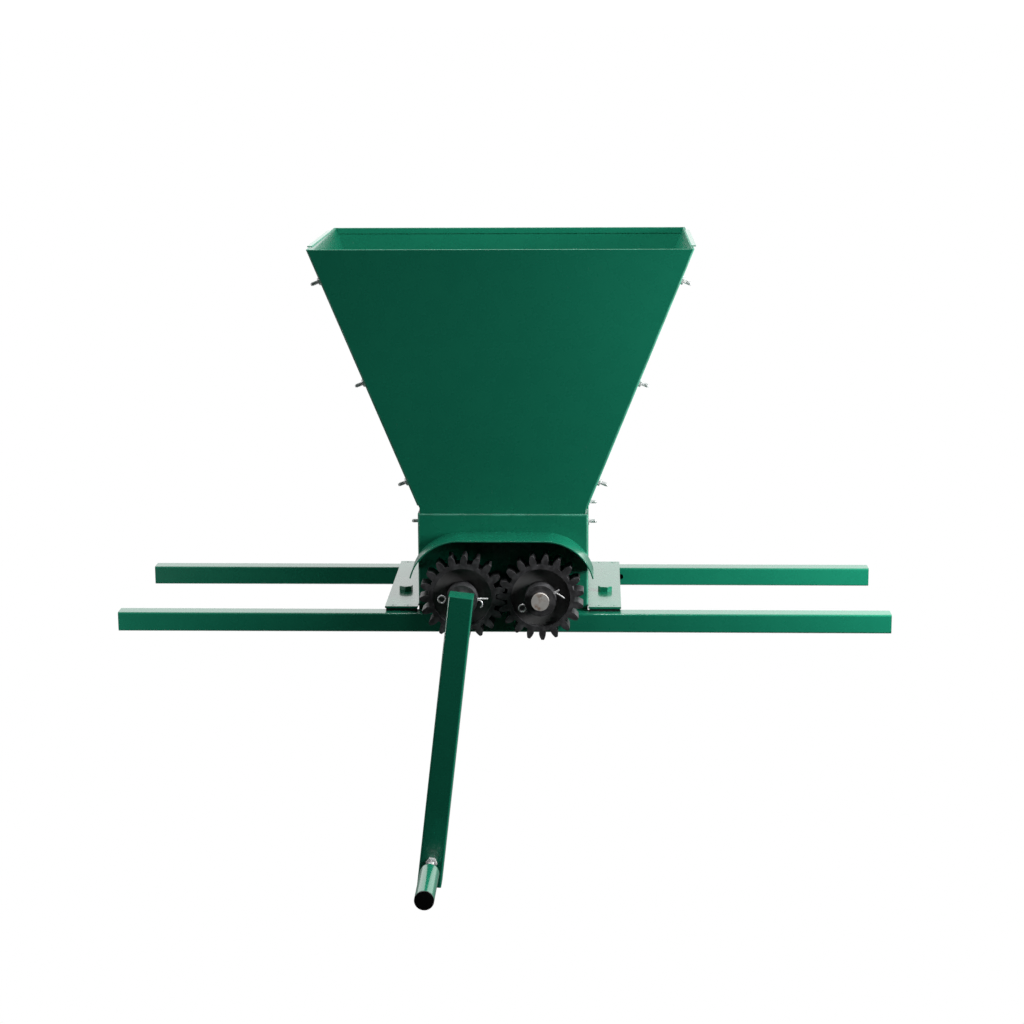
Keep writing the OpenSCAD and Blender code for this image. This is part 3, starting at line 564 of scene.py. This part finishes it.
def hex_head(flats, height):
    """Hex bolt head along +Z with a chamfered top at z = 0."""
    bm = hexagon(flats, height)
    rims = edges_at(bm, lambda co: co.z < 0)
    bmesh.ops.subdivide_edges(bm, edges=rims, cuts=HEX_CUTS)
    chamfer = 0.475 * flats
    inset_round(bm, [face for face in bm.faces if face.normal.z < -FACING], flats, chamfer)
    for vert in bm.verts:
        if vert.co.z < 0:
            vert.co.z += CHAMFER_SLOPE * max(0.0, vert.co.xy.length - chamfer)
    bmesh.ops.translate(bm, verts=bm.verts, vec=(0, 0, height / 2))
    bmesh.ops.recalc_face_normals(bm, faces=bm.faces)
    return bm


def draw_out(bm, edges, offset):
    """Extends edges by an offset and returns the edges at the far side."""
    made = bmesh.ops.extrude_edge_only(bm, edges=edges)["geom"]
    ends = set(only(BMVert, made))
    bmesh.ops.translate(bm, vec=offset, verts=list(ends))
    return [edge for edge in only(BMEdge, made) if ends.issuperset(edge.verts)]


def bent_wire(radius, start, heading, moves, sides=12):
    """Sweeps a round wire in the X-Z plane through runs and turns; a positive turn is to the left."""
    bm = bmesh.new()
    here = Vector(start)
    ahead = Vector(heading).normalized()
    made = bmesh.ops.create_circle(bm, cap_ends=True, segments=sides, radius=radius)
    bmesh.ops.transform(bm, matrix=facing(here, ahead), verts=made["verts"])
    rim = bm.edges[:]
    for move in moves:
        if move[0] == "run":
            step = ahead * move[1]
            rim = draw_out(bm, rim, step)
            here = here + step
        else:
            bend, angle = move[1], math.radians(move[2])
            left = Vector((-ahead.z, 0, ahead.x))
            centre = here + left * math.copysign(bend, angle)
            last = bmesh.ops.spin(
                bm, geom=rim, cent=centre, axis=(0, -1, 0), dvec=(0, 0, 0), angle=angle,
                steps=max(3, int(abs(move[2]) / WIRE_STEP)), use_duplicate=False)["geom_last"]
            rim = only(BMEdge, last)
            swing = Matrix.Rotation(angle, 3, Vector((0, -1, 0)))
            here = centre + swing @ (here - centre)
            ahead = swing @ ahead
    bmesh.ops.edgeloop_fill(bm, edges=rim)
    bmesh.ops.recalc_face_normals(bm, faces=bm.faces)
    return bm


def fold(bm, first, second, offset):
    """Extends a sheet from the edge between two of its corners and returns that edge, the bend."""
    bend = bm.edges.get((first, second))
    draw_out(bm, [bend], offset)
    return bend


def thicken(bm, outward, thickness, cut_edge):
    """Turns a folded sheet's faces outwards, gives it its thickness and rounds its cut edges."""
    bmesh.ops.recalc_face_normals(bm, faces=bm.faces)
    widest = max(bm.faces, key=lambda face: face.calc_area())
    if widest.normal.dot(Vector(outward)) < 0:
        bmesh.ops.reverse_faces(bm, faces=bm.faces)
    bmesh.ops.solidify(bm, geom=bm.faces[:], thickness=thickness)
    bmesh.ops.recalc_face_normals(bm, faces=bm.faces)
    round_off(bm, steep_edges(bm), cut_edge)


def mark_cut_faces(bm, thickness):
    """Marks a sheet's narrow faces, along its cuts, in the edge mask."""
    wear = bm.faces.layers.float["wear"]
    for face in bm.faces:
        if min(edge.calc_length() for edge in face.edges) < thickness:
            face[wear] = 1


# Hopper

def across(low, high, z):
    """Value between two at a height between the box's top and the hopper's mouth."""
    return low + (high - low) * (z - BOX_TOP) / (HOPPER_TOP - BOX_TOP)


def hopper_form(sizes):
    """Depth of the hopper's foot and of its mouth, and the lean of its side and front panels."""
    foot = -PLATE_LOW.y - sizes.box_sheet
    mouth = -PANEL_LOW.y
    tall = HOPPER_TOP - BOX_TOP
    return foot, mouth, math.atan((PANEL_HIGH.x - SIDE_LOW.x) / tall), math.atan((mouth - foot) / tall)


def hopper_front(sizes, side):
    """Front or rear panel: skirt, slope, two returns and a folded hem; side is -1 for the front."""
    sheet = sizes.hopper_sheet
    base, mouth, side_lean, lean = hopper_form(sizes)
    bend = SIDE_LOW.x + sheet / math.cos(side_lean)
    skirt = SIDE_LOW.x - sheet - sizes.panel_gap
    start = BOX_TOP + sizes.return_start
    start_x = across(bend, PANEL_HIGH.x, start)
    start_y = side * across(base, mouth, start)
    rim = HOPPER_TOP - sheet * math.sin(side_lean)
    rim_x = across(bend, PANEL_HIGH.x, rim)
    rim_y = side * across(base, mouth, rim)
    bm = bmesh.new()
    corners = [bm.verts.new(corner) for corner in (
        (-skirt, side * base, BOX_TOP), (skirt, side * base, BOX_TOP), (bend, side * base, BOX_TOP),
        (start_x, start_y, start), (rim_x, rim_y, rim), (-rim_x, rim_y, rim), (-start_x, start_y, start),
        (-bend, side * base, BOX_TOP))]
    bm.faces.new(corners)
    inward = Vector((0, -side * sizes.return_width, 0))
    fold(bm, corners[0], corners[1], (0, 0, PANEL_LOW.z - BOX_TOP))
    bends = [fold(bm, corners[3], corners[4], inward), fold(bm, corners[5], corners[6], inward)]
    bevel(bm, bends, sizes.fold_radius, 4)
    thicken(bm, (0, side, 0), sheet, sizes.cut_edge)
    mark_cut_faces(bm, sheet)
    hem = bmesh.new()
    half = across(bend, PANEL_HIGH.x, HOPPER_TOP - sizes.hem_height) - 2 * sheet - sizes.panel_gap
    bmesh.ops.create_cube(hem, size=1)
    bmesh.ops.scale(hem, vec=(2 * half, sizes.hem_step, sizes.hem_height), verts=hem.verts)
    long_edges = [edge for edge in hem.edges if edge.calc_length() > half]
    round_off(hem, long_edges, 0.4 * sizes.hem_step, 3)
    drop = Vector((0, rim_y - side * (sheet + sizes.hem_step / 2), rim - sizes.cut_edge))
    join(bm, hem, Matrix.Translation(drop) @ Matrix.Rotation(-side * lean, 4, "X")
         @ Matrix.Translation((0, 0, -sizes.hem_height / 2)))
    return bm


def hopper_side(sizes, side):
    """Left or right panel: skirt, slope and lip; side is -1 for the left."""
    sheet = sizes.hopper_sheet
    base, mouth, lean, front_lean = hopper_form(sizes)
    corner = sheet / math.cos(front_lean) + sizes.panel_gap
    foot = side * (SIDE_LOW.x - sheet)
    top = side * (PANEL_HIGH.x - 2 * sheet / math.cos(lean))
    lip_half = mouth - sizes.return_width - sizes.lip_end_gap
    bm = bmesh.new()
    corners = [bm.verts.new(place) for place in (
        (foot, base - corner, BOX_TOP), (foot, corner - base, BOX_TOP), (top, corner - mouth, HOPPER_TOP),
        (top, -lip_half, HOPPER_TOP), (top, lip_half, HOPPER_TOP), (top, mouth - corner, HOPPER_TOP))]
    bm.faces.new(corners)
    fold(bm, corners[0], corners[1], (0, 0, PANEL_SIDE_LOW.z - BOX_TOP))
    lip = fold(bm, corners[3], corners[4], (side * PANEL_SIDE_HIGH.x - top, 0, 0))
    bevel(bm, [lip], sizes.fold_radius / 2, 3)
    thicken(bm, (-side, 0, 0), sheet, sizes.cut_edge)
    mark_cut_faces(bm, sheet)
    return bm


class CRUSHER_OT_hopper(bpy.types.Operator):
    """Folds the four panels of the hopper"""
    bl_idname = "crusher.hopper"
    bl_label = "Hopper"

    def execute(self, context):
        sizes = context.scene.crusher_sizes
        settle(hopper_front(sizes, -1), "front_panel_sheet", "green_enamel", "base", "hopper_front_panel")
        settle(hopper_front(sizes, 1), "rear_panel_sheet", "green_enamel", "base", "hopper_rear_panel")
        settle(hopper_side(sizes, -1), "left_panel_sheet", "green_enamel", "base", "hopper_left_panel")
        settle(hopper_side(sizes, 1), "right_panel_sheet", "green_enamel", "base", "hopper_right_panel")
        return {"FINISHED"}


# Roller box

class CRUSHER_OT_box(bpy.types.Operator):
    """Rounds the folds and edges of the roller box's plates"""
    bl_idname = "crusher.box"
    bl_label = "Roller box"

    def execute(self, context):
        sizes = context.scene.crusher_sizes
        bm = solid_copy("front_plate")
        folds = edges_at(bm, lambda co: (
            abs(abs(co.x) - PLATE_HIGH.x) < TOUCHING and co.y - PLATE_LOW.y < TOUCHING))
        round_off(bm, folds, sizes.plate_fold_radius, 5)
        round_off(bm, steep_edges(bm), sizes.cut_edge)
        settle(bm, "front_plate_sheet", "green_enamel", "base", "front_plate")
        bm = solid_copy("rear_plate")
        round_off(bm, steep_edges(bm), sizes.cut_edge)
        settle(bm, "rear_plate_sheet", "green_enamel", "base", "rear_plate")
        inner_z = SIDE_LOW.z + sizes.box_sheet
        for node, side in (("left_side_plate", -1), ("right_side_plate", 1)):
            bm = solid_copy(node)
            outer_x = side * SIDE_LOW.x
            inner_x = side * (SIDE_LOW.x + sizes.box_sheet)
            outer = edges_at(bm, lambda co: (
                abs(co.x - outer_x) < TOUCHING and co.z - SIDE_LOW.z < TOUCHING))
            inner = edges_at(bm, lambda co: (
                abs(co.x - inner_x) < TOUCHING and abs(co.z - inner_z) < TOUCHING))
            round_off(bm, outer, sizes.plate_fold_radius, 5)
            round_off(bm, inner, sizes.plate_fold_radius - sizes.box_sheet, 3)
            round_off(bm, steep_edges(bm), sizes.cut_edge)
            settle(bm, node + "_sheet", "green_enamel", "base", node)
        return {"FINISHED"}


class CRUSHER_OT_hood(bpy.types.Operator):
    """Rolls the sheet over the gears"""
    bl_idname = "crusher.hood"
    bl_label = "Gear hood"

    def execute(self, context):
        sizes = context.scene.crusher_sizes
        arc_x = SHAFT_X + sizes.hood_spread
        reach = HOOD_HIGH.x - arc_x
        tall = HOOD_HIGH.z - HOOD_LOW.z
        radius = (reach ** 2 + tall ** 2) / (2 * tall)
        centre_z = HOOD_HIGH.z - radius
        rise = math.asin((HOOD_LOW.z - centre_z) / radius)
        bm = bmesh.new()
        ends = [bm.verts.new((-HOOD_HIGH.x, y, HOOD_LOW.z)) for y in (HOOD_LOW.y, HOOD_HIGH.y)]
        strip = [bm.edges.new(ends)]
        for centre_x in (-arc_x, arc_x):
            if centre_x > 0:
                strip = draw_out(bm, strip, (2 * arc_x, 0, 0))
            last = bmesh.ops.spin(
                bm, geom=strip, cent=(centre_x, 0, centre_z), axis=(0, 1, 0), dvec=(0, 0, 0),
                angle=math.pi / 2 - rise, steps=24, use_duplicate=False)["geom_last"]
            strip = only(BMEdge, last)
        bmesh.ops.remove_doubles(bm, verts=bm.verts, dist=TOUCHING)
        thicken(bm, (0, 0, 1), sizes.hood_sheet, sizes.cut_edge)
        settle(bm, "gear_hood_sheet", "green_enamel", "base", "gear_hood")
        return {"FINISHED"}


class CRUSHER_OT_rails(bpy.types.Operator):
    """Paints the two carrying rails and paints the strips on them black, as painted shade for the gap under the
    flanges
    """
    bl_idname = "crusher.rails"
    bl_label = "Rails"

    def execute(self, context):
        dress("green_enamel", "front_rail", "rear_rail")
        # Painted shade: the strips under the flanges are made black to stand in for the shadow in the gap there
        dress("black_plastic", "flange_spacers")
        return {"FINISHED"}


# Gears, shafts and rollers

class CRUSHER_OT_gears(bpy.types.Operator):
    """Rounds the edges of the two cast gears and marks their pockets for painted light, a paler grey over their shade
    """
    bl_idname = "crusher.gears"
    bl_label = "Gears"

    def execute(self, context):
        sizes = context.scene.crusher_sizes
        for node, body in (("drive_gear", "drive_train"), ("driven_gear", "driven_train")):
            bm = solid_copy(node)
            round_off(bm, steep_edges(bm, CASTING_ANGLE), sizes.casting_edge)
            # Painted light: front faces sunk deeper than the hub's nose, the shaded pockets, are marked to be painted
            # paler
            dust = bm.faces.layers.float.new("dust")
            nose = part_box(node)[0].y
            for face in bm.faces:
                sunk = face.calc_center_median().y - nose
                if face.normal.y < -FACING and sunk > sizes.hub_nose + sizes.casting_edge:
                    face[dust] = 1
            settle(bm, node + "_casting", "black_cast_iron", body, node)
        return {"FINISHED"}


class CRUSHER_OT_shafts(bpy.types.Operator):
    """Gives the shafts, bushes, rollers and grub screws their metals"""
    bl_idname = "crusher.shafts"
    bl_label = "Shafts and rollers"

    def execute(self, context):
        dress("bare_steel", "drive_shaft", "driven_shaft")
        dress("bush_bronze", "left_front_bush", "right_front_bush", "left_rear_bush", "right_rear_bush")
        dress("cast_aluminium", "drive_roller", "driven_roller")
        dress("zinc_plate", "drive_roller_screw", "driven_roller_screw")
        return {"FINISHED"}


def split_pin(sizes, upper_leg, lower_leg):
    """Split pin along local X, its eye on the -X side; the upper leg is a length, the lower one is wire moves."""
    wire = sizes.pin_wire / 2
    stem = sizes.pin_stem
    neck = sizes.pin_neck
    reach = sizes.pin_eye + neck
    neck_x = math.sqrt(reach ** 2 - (stem + neck) ** 2)
    lead = 90 - math.degrees(math.asin((stem + neck) / reach))
    eye_gap = 0.1 * MM
    eye_x = -sizes.hub_radius - wire - eye_gap - sizes.pin_eye
    stem_end = sizes.hub_radius + wire
    through = ("run", stem_end - eye_x - neck_x)
    moves = [
        ("run", upper_leg), through, ("turn", neck, -lead), ("turn", sizes.pin_eye, 180 + 2 * lead),
        ("turn", neck, -lead), through]
    return bent_wire(wire, (stem_end + upper_leg, 0, stem), (-1, 0, 0), moves + lower_leg)


class CRUSHER_OT_split_pins(bpy.types.Operator):
    """Bends the wire of the two split pins"""
    bl_idname = "crusher.split_pins"
    bl_label = "Split pins"

    def execute(self, context):
        sizes = context.scene.crusher_sizes
        pin_low, pin_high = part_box("drive_gear_pin")
        y = (pin_low.y + pin_high.y) / 2
        straight_leg = 10 * MM
        curled_leg = [("turn", 4 * MM, -150)]
        pin = split_pin(sizes, straight_leg, curled_leg)
        bmesh.ops.translate(pin, vec=(-SHAFT_X, y, SHAFT_Z), verts=pin.verts)
        settle(pin, "drive_gear_split_pin", "zinc_plate", "drive_train", "drive_gear_pin")
        short_leg = 5 * MM
        bent_leg = [("turn", 1.5 * MM, -60), ("run", 9 * MM)]
        lean = math.radians(-26)
        pin = split_pin(sizes, short_leg, bent_leg)
        turn = Matrix.Translation((SHAFT_X, y, SHAFT_Z)) @ Matrix.Rotation(lean, 4, "Y")
        bmesh.ops.transform(pin, matrix=turn, verts=pin.verts)
        settle(pin, "driven_gear_split_pin", "zinc_plate", "driven_train", "driven_gear_pin")
        return {"FINISHED"}


# Crank and handle

class CRUSHER_OT_crank(bpy.types.Operator):
    """Rounds the crank tube and welds it to its shaft"""
    bl_idname = "crusher.crank"
    bl_label = "Crank"

    def execute(self, context):
        sizes = context.scene.crusher_sizes
        arm_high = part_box("crank_arm")[1]
        bm = solid_copy("crank_arm")
        round_off(bm, steep_edges(bm), sizes.crank_edge, 3)
        bead = sizes.weld_bead
        ring = SHAFT_RADIUS + 0.3 * bead
        sides = 12
        angles = [step * FULL_TURN / sides for step in range(sides + 1)]
        weld = [(ring + bead * math.cos(angle), bead * math.sin(angle)) for angle in angles]
        join(bm, lathe(weld, 48), facing((-SHAFT_X, arm_high.y, SHAFT_Z), (0, 1, 0)))
        settle(bm, "crank_tube", "green_enamel", "drive_train", "crank_arm")
        return {"FINISHED"}


class CRUSHER_OT_handle(bpy.types.Operator):
    """Turns the handle's tube and plug"""
    bl_idname = "crusher.handle"
    bl_label = "Handle"

    def execute(self, context):
        sizes = context.scene.crusher_sizes
        low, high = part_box("handle_tube")
        plug_low, plug_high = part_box("handle_plug")
        place = facing(((low.x + high.x) / 2, high.y, (low.z + high.z) / 2), (0, -1, 0))
        radius = (high.x - low.x) / 2
        bore = radius - sizes.handle_wall
        long = high.y - low.y
        nose = sizes.handle_nose
        hole = sizes.handle_hole
        hole_rim = 0.24 * MM
        tube_edge = 0.4 * MM
        arc = [math.radians(15 * step) for step in range(2, 7)]
        rounded = [(radius - nose + nose * math.sin(angle), nose - nose * math.cos(angle)) for angle in arc]
        profile = [(hole, hole_rim)] + rounded + [
            (radius, long - tube_edge), (radius - tube_edge, long), (bore, long), (bore, sizes.handle_end),
            (hole, sizes.handle_end), (hole, hole_rim)]
        bm = bmesh.new()
        join(bm, lathe(profile, 64), place)
        settle(bm, "handle_grip", "green_enamel", "handle", "handle_tube")
        deep = plug_high.y - plug_low.y
        cap = deep - (low.y - plug_low.y)
        play = 0.05 * MM
        edge = 0.7 * MM
        profile = [
            (0, 0), (bore - 0.3 * MM, 0), (bore - play, 0.5 * MM), (bore - play, cap),
            (radius - 0.1 * MM, cap), (radius, cap + 0.2 * MM), (radius, deep - edge),
            (radius - 0.2 * edge, deep - 0.35 * edge), (radius - edge, deep - 0.1 * MM),
            (0.6 * radius, deep - 0.02 * MM), (0, deep)]
        bm = bmesh.new()
        join(bm, lathe(profile, 64), facing((place.translation.x, plug_high.y, place.translation.z), (0, -1, 0)))
        settle(bm, "handle_end_plug", "black_plastic", "handle", "handle_plug")
        return {"FINISHED"}


# Bolts, nuts and screws

def pan_bolt(sizes, long, wide):
    """Pan-head bolt along +Z with its domed head at z = 0."""
    head = sizes.small_head
    radius = wide / 2
    thread = sizes.small_thread
    recess, recess_depth = 0.9 * MM, 0.7 * MM
    profile = [
        (0, recess_depth), (recess, recess_depth), (recess, 0), (0.55 * radius, 0.02 * MM),
        (0.82 * radius, 0.35 * MM), (0.97 * radius, 1.0 * MM), (radius, 1.7 * MM), (radius, head), (thread / 2, head)]
    return lathe(profile + thread_profile(thread, sizes.small_pitch, head, long), 24)


def sunk_screw(sizes, long, wide):
    """Countersunk screw along +Z with its flat head at z = 0 and a round drive recess."""
    radius = wide / 2
    thread = sizes.small_thread
    cone_end, thread_start = 1.6 * MM, 1.7 * MM
    profile = [
        (0, 1.2 * MM), (0.7 * MM, 1.1 * MM), (1.2 * MM, 0.05 * MM), (1.4 * MM, 0), (radius - 0.15 * MM, 0),
        (radius - 0.05 * MM, 0.12 * MM), (thread / 2, cone_end)]
    return lathe(profile + thread_profile(thread, sizes.small_pitch, thread_start, long), 24)


def outwards(middle):
    return (math.copysign(1, middle.x), 0, 0)


def downwards(middle):
    return (0, 0, -1)


def forwards(middle):
    return (0, -1, 0)


def hopper_outwards(middle):
    """Way out of the hopper's sloping side panel."""
    slope = max(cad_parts["hopper_right_panel"].data.polygons, key=lambda face: face.area).normal
    return (math.copysign(slope.x, middle.x), 0, -abs(slope.z))


def fill_set(node, name, finish, body, way, make):
    """Makes the piece of a group, with one shape for the length and width of each of its solids."""
    bm = bmesh.new()
    for place, long, wide in solids_along(node, way):
        join(bm, make(long, wide), place)
    settle(bm, name, finish, body, node)


class CRUSHER_OT_small_bolts(bpy.types.Operator):
    """Makes the bolts, nuts and screws of the hopper, box and flanges"""
    bl_idname = "crusher.small_bolts"
    bl_label = "Small bolts"

    def execute(self, context):
        sizes = context.scene.crusher_sizes

        def bolt(long, wide):
            return pan_bolt(sizes, long, wide)

        def small_nut(long, _):
            return nut(sizes.small_flats, long, sizes.small_thread)

        def screw(long, wide):
            return sunk_screw(sizes, long, wide)

        fill_set("hopper_bolts", "hopper_bolt_set", "zinc_plate", "base", hopper_outwards, bolt)
        fill_set("box_bolts", "box_bolt_set", "zinc_plate", "base", outwards, bolt)
        fill_set("hopper_nuts", "hopper_nut_set", "zinc_plate", "base", hopper_outwards, small_nut)
        fill_set("box_nuts", "box_nut_set", "zinc_plate", "base", outwards, small_nut)
        fill_set("flange_screws", "flange_screw_set", "green_enamel", "base", downwards, screw)
        return {"FINISHED"}


def hex_bolt(flats, head, thread, pitch, long):
    """Hex bolt along +Z with its head's top at z = 0."""
    bm = hex_head(flats, head)
    shank = [(0, head), (thread / 2, head)] + thread_profile(thread, pitch, head, long)
    join(bm, lathe(shank, 24), Matrix.Identity(4))
    return bm


class CRUSHER_OT_large_bolts(bpy.types.Operator):
    """Makes the upright bolts in the flanges and the handle's bolt, with their nuts"""
    bl_idname = "crusher.large_bolts"
    bl_label = "Large bolts"

    def execute(self, context):
        sizes = context.scene.crusher_sizes

        def flange_bolt(long, _):
            return hex_bolt(sizes.flange_flats, sizes.flange_head, sizes.flange_thread, sizes.flange_pitch, long)

        def handle_bolt(long, _):
            return hex_bolt(sizes.handle_flats, sizes.handle_head, sizes.handle_thread, sizes.handle_pitch, long)

        def flange_nut(long, _):
            return nut(sizes.flange_flats, long, sizes.flange_thread)

        def handle_nut(long, _):
            return nut(sizes.handle_flats, long, sizes.handle_thread)

        fill_set("flange_bolts", "flange_bolt_set", "green_enamel", "base", downwards, flange_bolt)
        fill_set("handle_bolt", "handle_bolt_turned", "zinc_plate", "drive_train", forwards, handle_bolt)
        fill_set("flange_nuts", "flange_nut_set", "green_enamel", "base", downwards, flange_nut)
        fill_set("handle_nuts", "handle_nut_set", "zinc_plate", "drive_train", forwards, handle_nut)
        return {"FINISHED"}


# Finishes and stage

# Each light's name, place, target and size; its power is a property
LIGHTS = (
    ("key", (0.8, -0.3, 0.3), (0.1, -0.1, 0.12), 0.4),
    ("fill", (-0.65, -0.27, 0), (-0.25, -0.1, 0.02), 0.2),
    ("top", (0, -0.15, 1), (0, -0.05, 0.3), 0.4))

# Parts of the sky, as ranges of the view's direction along Y or Z
BEHIND = (-0.25, 0.35)
HORIZON = (-0.06, 0.03)
OVERHEAD = (0.7, 0.95)

# Camera as found by fitting it to the photo
EYE = (96.05 * MM, -2419.65 * MM, 616.21 * MM)
YAW, PITCH, ROLL = 0.0371, 0.2087, -0.0057


class CRUSHER_OT_finishes(bpy.types.Operator):
    """Makes the paints and metals of the crusher"""
    bl_idname = "crusher.finishes"
    bl_label = "Finishes"

    def execute(self, context):
        colours = context.scene.crusher_colours
        for make in (make_enamel, make_zinc, make_iron, make_steel, make_aluminium, make_bronze, make_plug_and_shade_black):
            make(colours)
        return {"FINISHED"}


def soft_light(name, place, target, size, power):
    """Round light that the camera doesn't see."""
    light = bpy.data.lights.new(name, "AREA")
    light.shape = "DISK"
    light.size = size
    light.energy = power
    lamp = bpy.data.objects.new(name, light)
    lamp.location = place
    lamp.rotation_euler = (Vector(target) - Vector(place)).to_track_quat("-Z", "Y").to_euler()
    lamp.visible_camera = False
    bpy.context.scene.collection.objects.link(lamp)


def make_studio(scene):
    """World that is white for the camera and lights the crusher from behind."""
    stage = scene.crusher_stage
    world = bpy.data.worlds.new("studio")
    scene.world = world
    world.use_nodes = True
    world.node_tree.nodes.clear()
    start = Signal(world.node_tree)
    toward = start.add("ShaderNodeTexCoord", None, None, "Generated")
    rear = start.add("ShaderNodeSeparateXYZ", None, {0: toward}, 1)
    height = start.add("ShaderNodeSeparateXYZ", None, {0: toward}, 2)
    light = (stage.room + rear.ramp(*BEHIND) * height.ramp(*HORIZON, stage.haze, stage.sky)
             + stage.ceiling * height.ramp(*OVERHEAD))
    seen = start.add("ShaderNodeLightPath", None, None, "Is Camera Ray")
    strength = seen.maths("MAXIMUM", light, seen)
    glow = start.add("ShaderNodeBackground", None, {"Color": (1, 1, 1, 1), "Strength": strength})
    output = world.node_tree.nodes.new("ShaderNodeOutputWorld")
    world.node_tree.links.new(glow.socket, output.inputs["Surface"])


def make_floor(scene):
    """Round pale floor, far below the crusher."""
    stage = scene.crusher_stage
    colour = scene.crusher_colours.floor
    place = new_finish("pale_floor")
    body = place.noise(3, 2).ramp(0.3, 0.7).blend(shade(colour, 0.99), colour)
    close_finish(place, Base_Color=body, Roughness=0.9, Emission_Color=(1, 1, 1, 1), Emission_Strength=1.0)
    bm = bmesh.new()
    bmesh.ops.create_circle(bm, cap_ends=True, segments=96, radius=stage.floor_radius)
    bmesh.ops.translate(bm, vec=(0, stage.floor_back, -stage.floor_drop), verts=bm.verts)
    floor = new_object(bm, "floor", "pale_floor")


def make_view(scene):
    """Camera that sees the crusher as the photo does."""
    view = bpy.data.cameras.new("view")
    view.sensor_width = 36
    view.lens = scene.crusher_stage.lens
    view.clip_end = 60
    eye = bpy.data.objects.new("view", view)
    eye.location = EYE
    eye.rotation_euler = (
        Matrix.Rotation(YAW, 3, "Z") @ Matrix.Rotation(math.pi / 2 - PITCH, 3, "X")
        @ Matrix.Rotation(ROLL, 3, "Z")).to_euler()
    scene.collection.objects.link(eye)
    scene.camera = eye


class CRUSHER_OT_stage(bpy.types.Operator):
    """Sets the floor, the soft light and the camera"""
    bl_idname = "crusher.stage"
    bl_label = "Stage"

    def execute(self, context):
        scene = context.scene
        scene.view_settings.view_transform = "Standard"
        scene.view_settings.look = "None"
        make_studio(scene)
        make_floor(scene)
        for name, place, target, size in LIGHTS:
            soft_light(name, place, target, size, getattr(scene.crusher_stage, name + "_power"))
        make_view(scene)
        return {"FINISHED"}


PIECES = (
    CRUSHER_OT_finishes, CRUSHER_OT_hopper, CRUSHER_OT_box, CRUSHER_OT_hood, CRUSHER_OT_rails, CRUSHER_OT_gears,
    CRUSHER_OT_shafts, CRUSHER_OT_split_pins, CRUSHER_OT_crank, CRUSHER_OT_handle, CRUSHER_OT_small_bolts,
    CRUSHER_OT_large_bolts, CRUSHER_OT_stage)


class CRUSHER_PT_panel(bpy.types.Panel):
    """Lists the crusher's sizes, colours and pieces"""
    bl_idname = "CRUSHER_PT_panel"
    bl_label = "Grape crusher"
    bl_space_type = "VIEW_3D"
    bl_region_type = "UI"
    bl_category = "Crusher"

    def draw(self, context):
        layout = self.layout
        for group in (context.scene.crusher_sizes, context.scene.crusher_colours, context.scene.crusher_stage):
            column = layout.column()
            for name in group.__annotations__:
                column.prop(group, name)
        for piece in PIECES:
            layout.operator(piece.bl_idname)


GROUPS = (
    ("crusher_sizes", CrusherSizes), ("crusher_colours", CrusherColours), ("crusher_stage", CrusherStage))


def register():
    for name, group in GROUPS:
        bpy.utils.register_class(group)
        setattr(bpy.types.Scene, name, PointerProperty(type=group))
    for piece in PIECES + (CRUSHER_PT_panel,):
        bpy.utils.register_class(piece)


def unregister():
    for piece in reversed(PIECES + (CRUSHER_PT_panel,)):
        bpy.utils.unregister_class(piece)
    for name, group in reversed(GROUPS):
        delattr(bpy.types.Scene, name)
        bpy.utils.unregister_class(group)


def main():
    register()
    bpy.ops.crusher.finishes()
    bpy.ops.crusher.hopper()
    bpy.ops.crusher.box()
    bpy.ops.crusher.hood()
    bpy.ops.crusher.rails()
    bpy.ops.crusher.gears()
    bpy.ops.crusher.shafts()
    bpy.ops.crusher.split_pins()
    bpy.ops.crusher.crank()
    bpy.ops.crusher.handle()
    bpy.ops.crusher.small_bolts()
    bpy.ops.crusher.large_bolts()
    bpy.ops.crusher.stage()


if __name__ == "__main__":
    main()
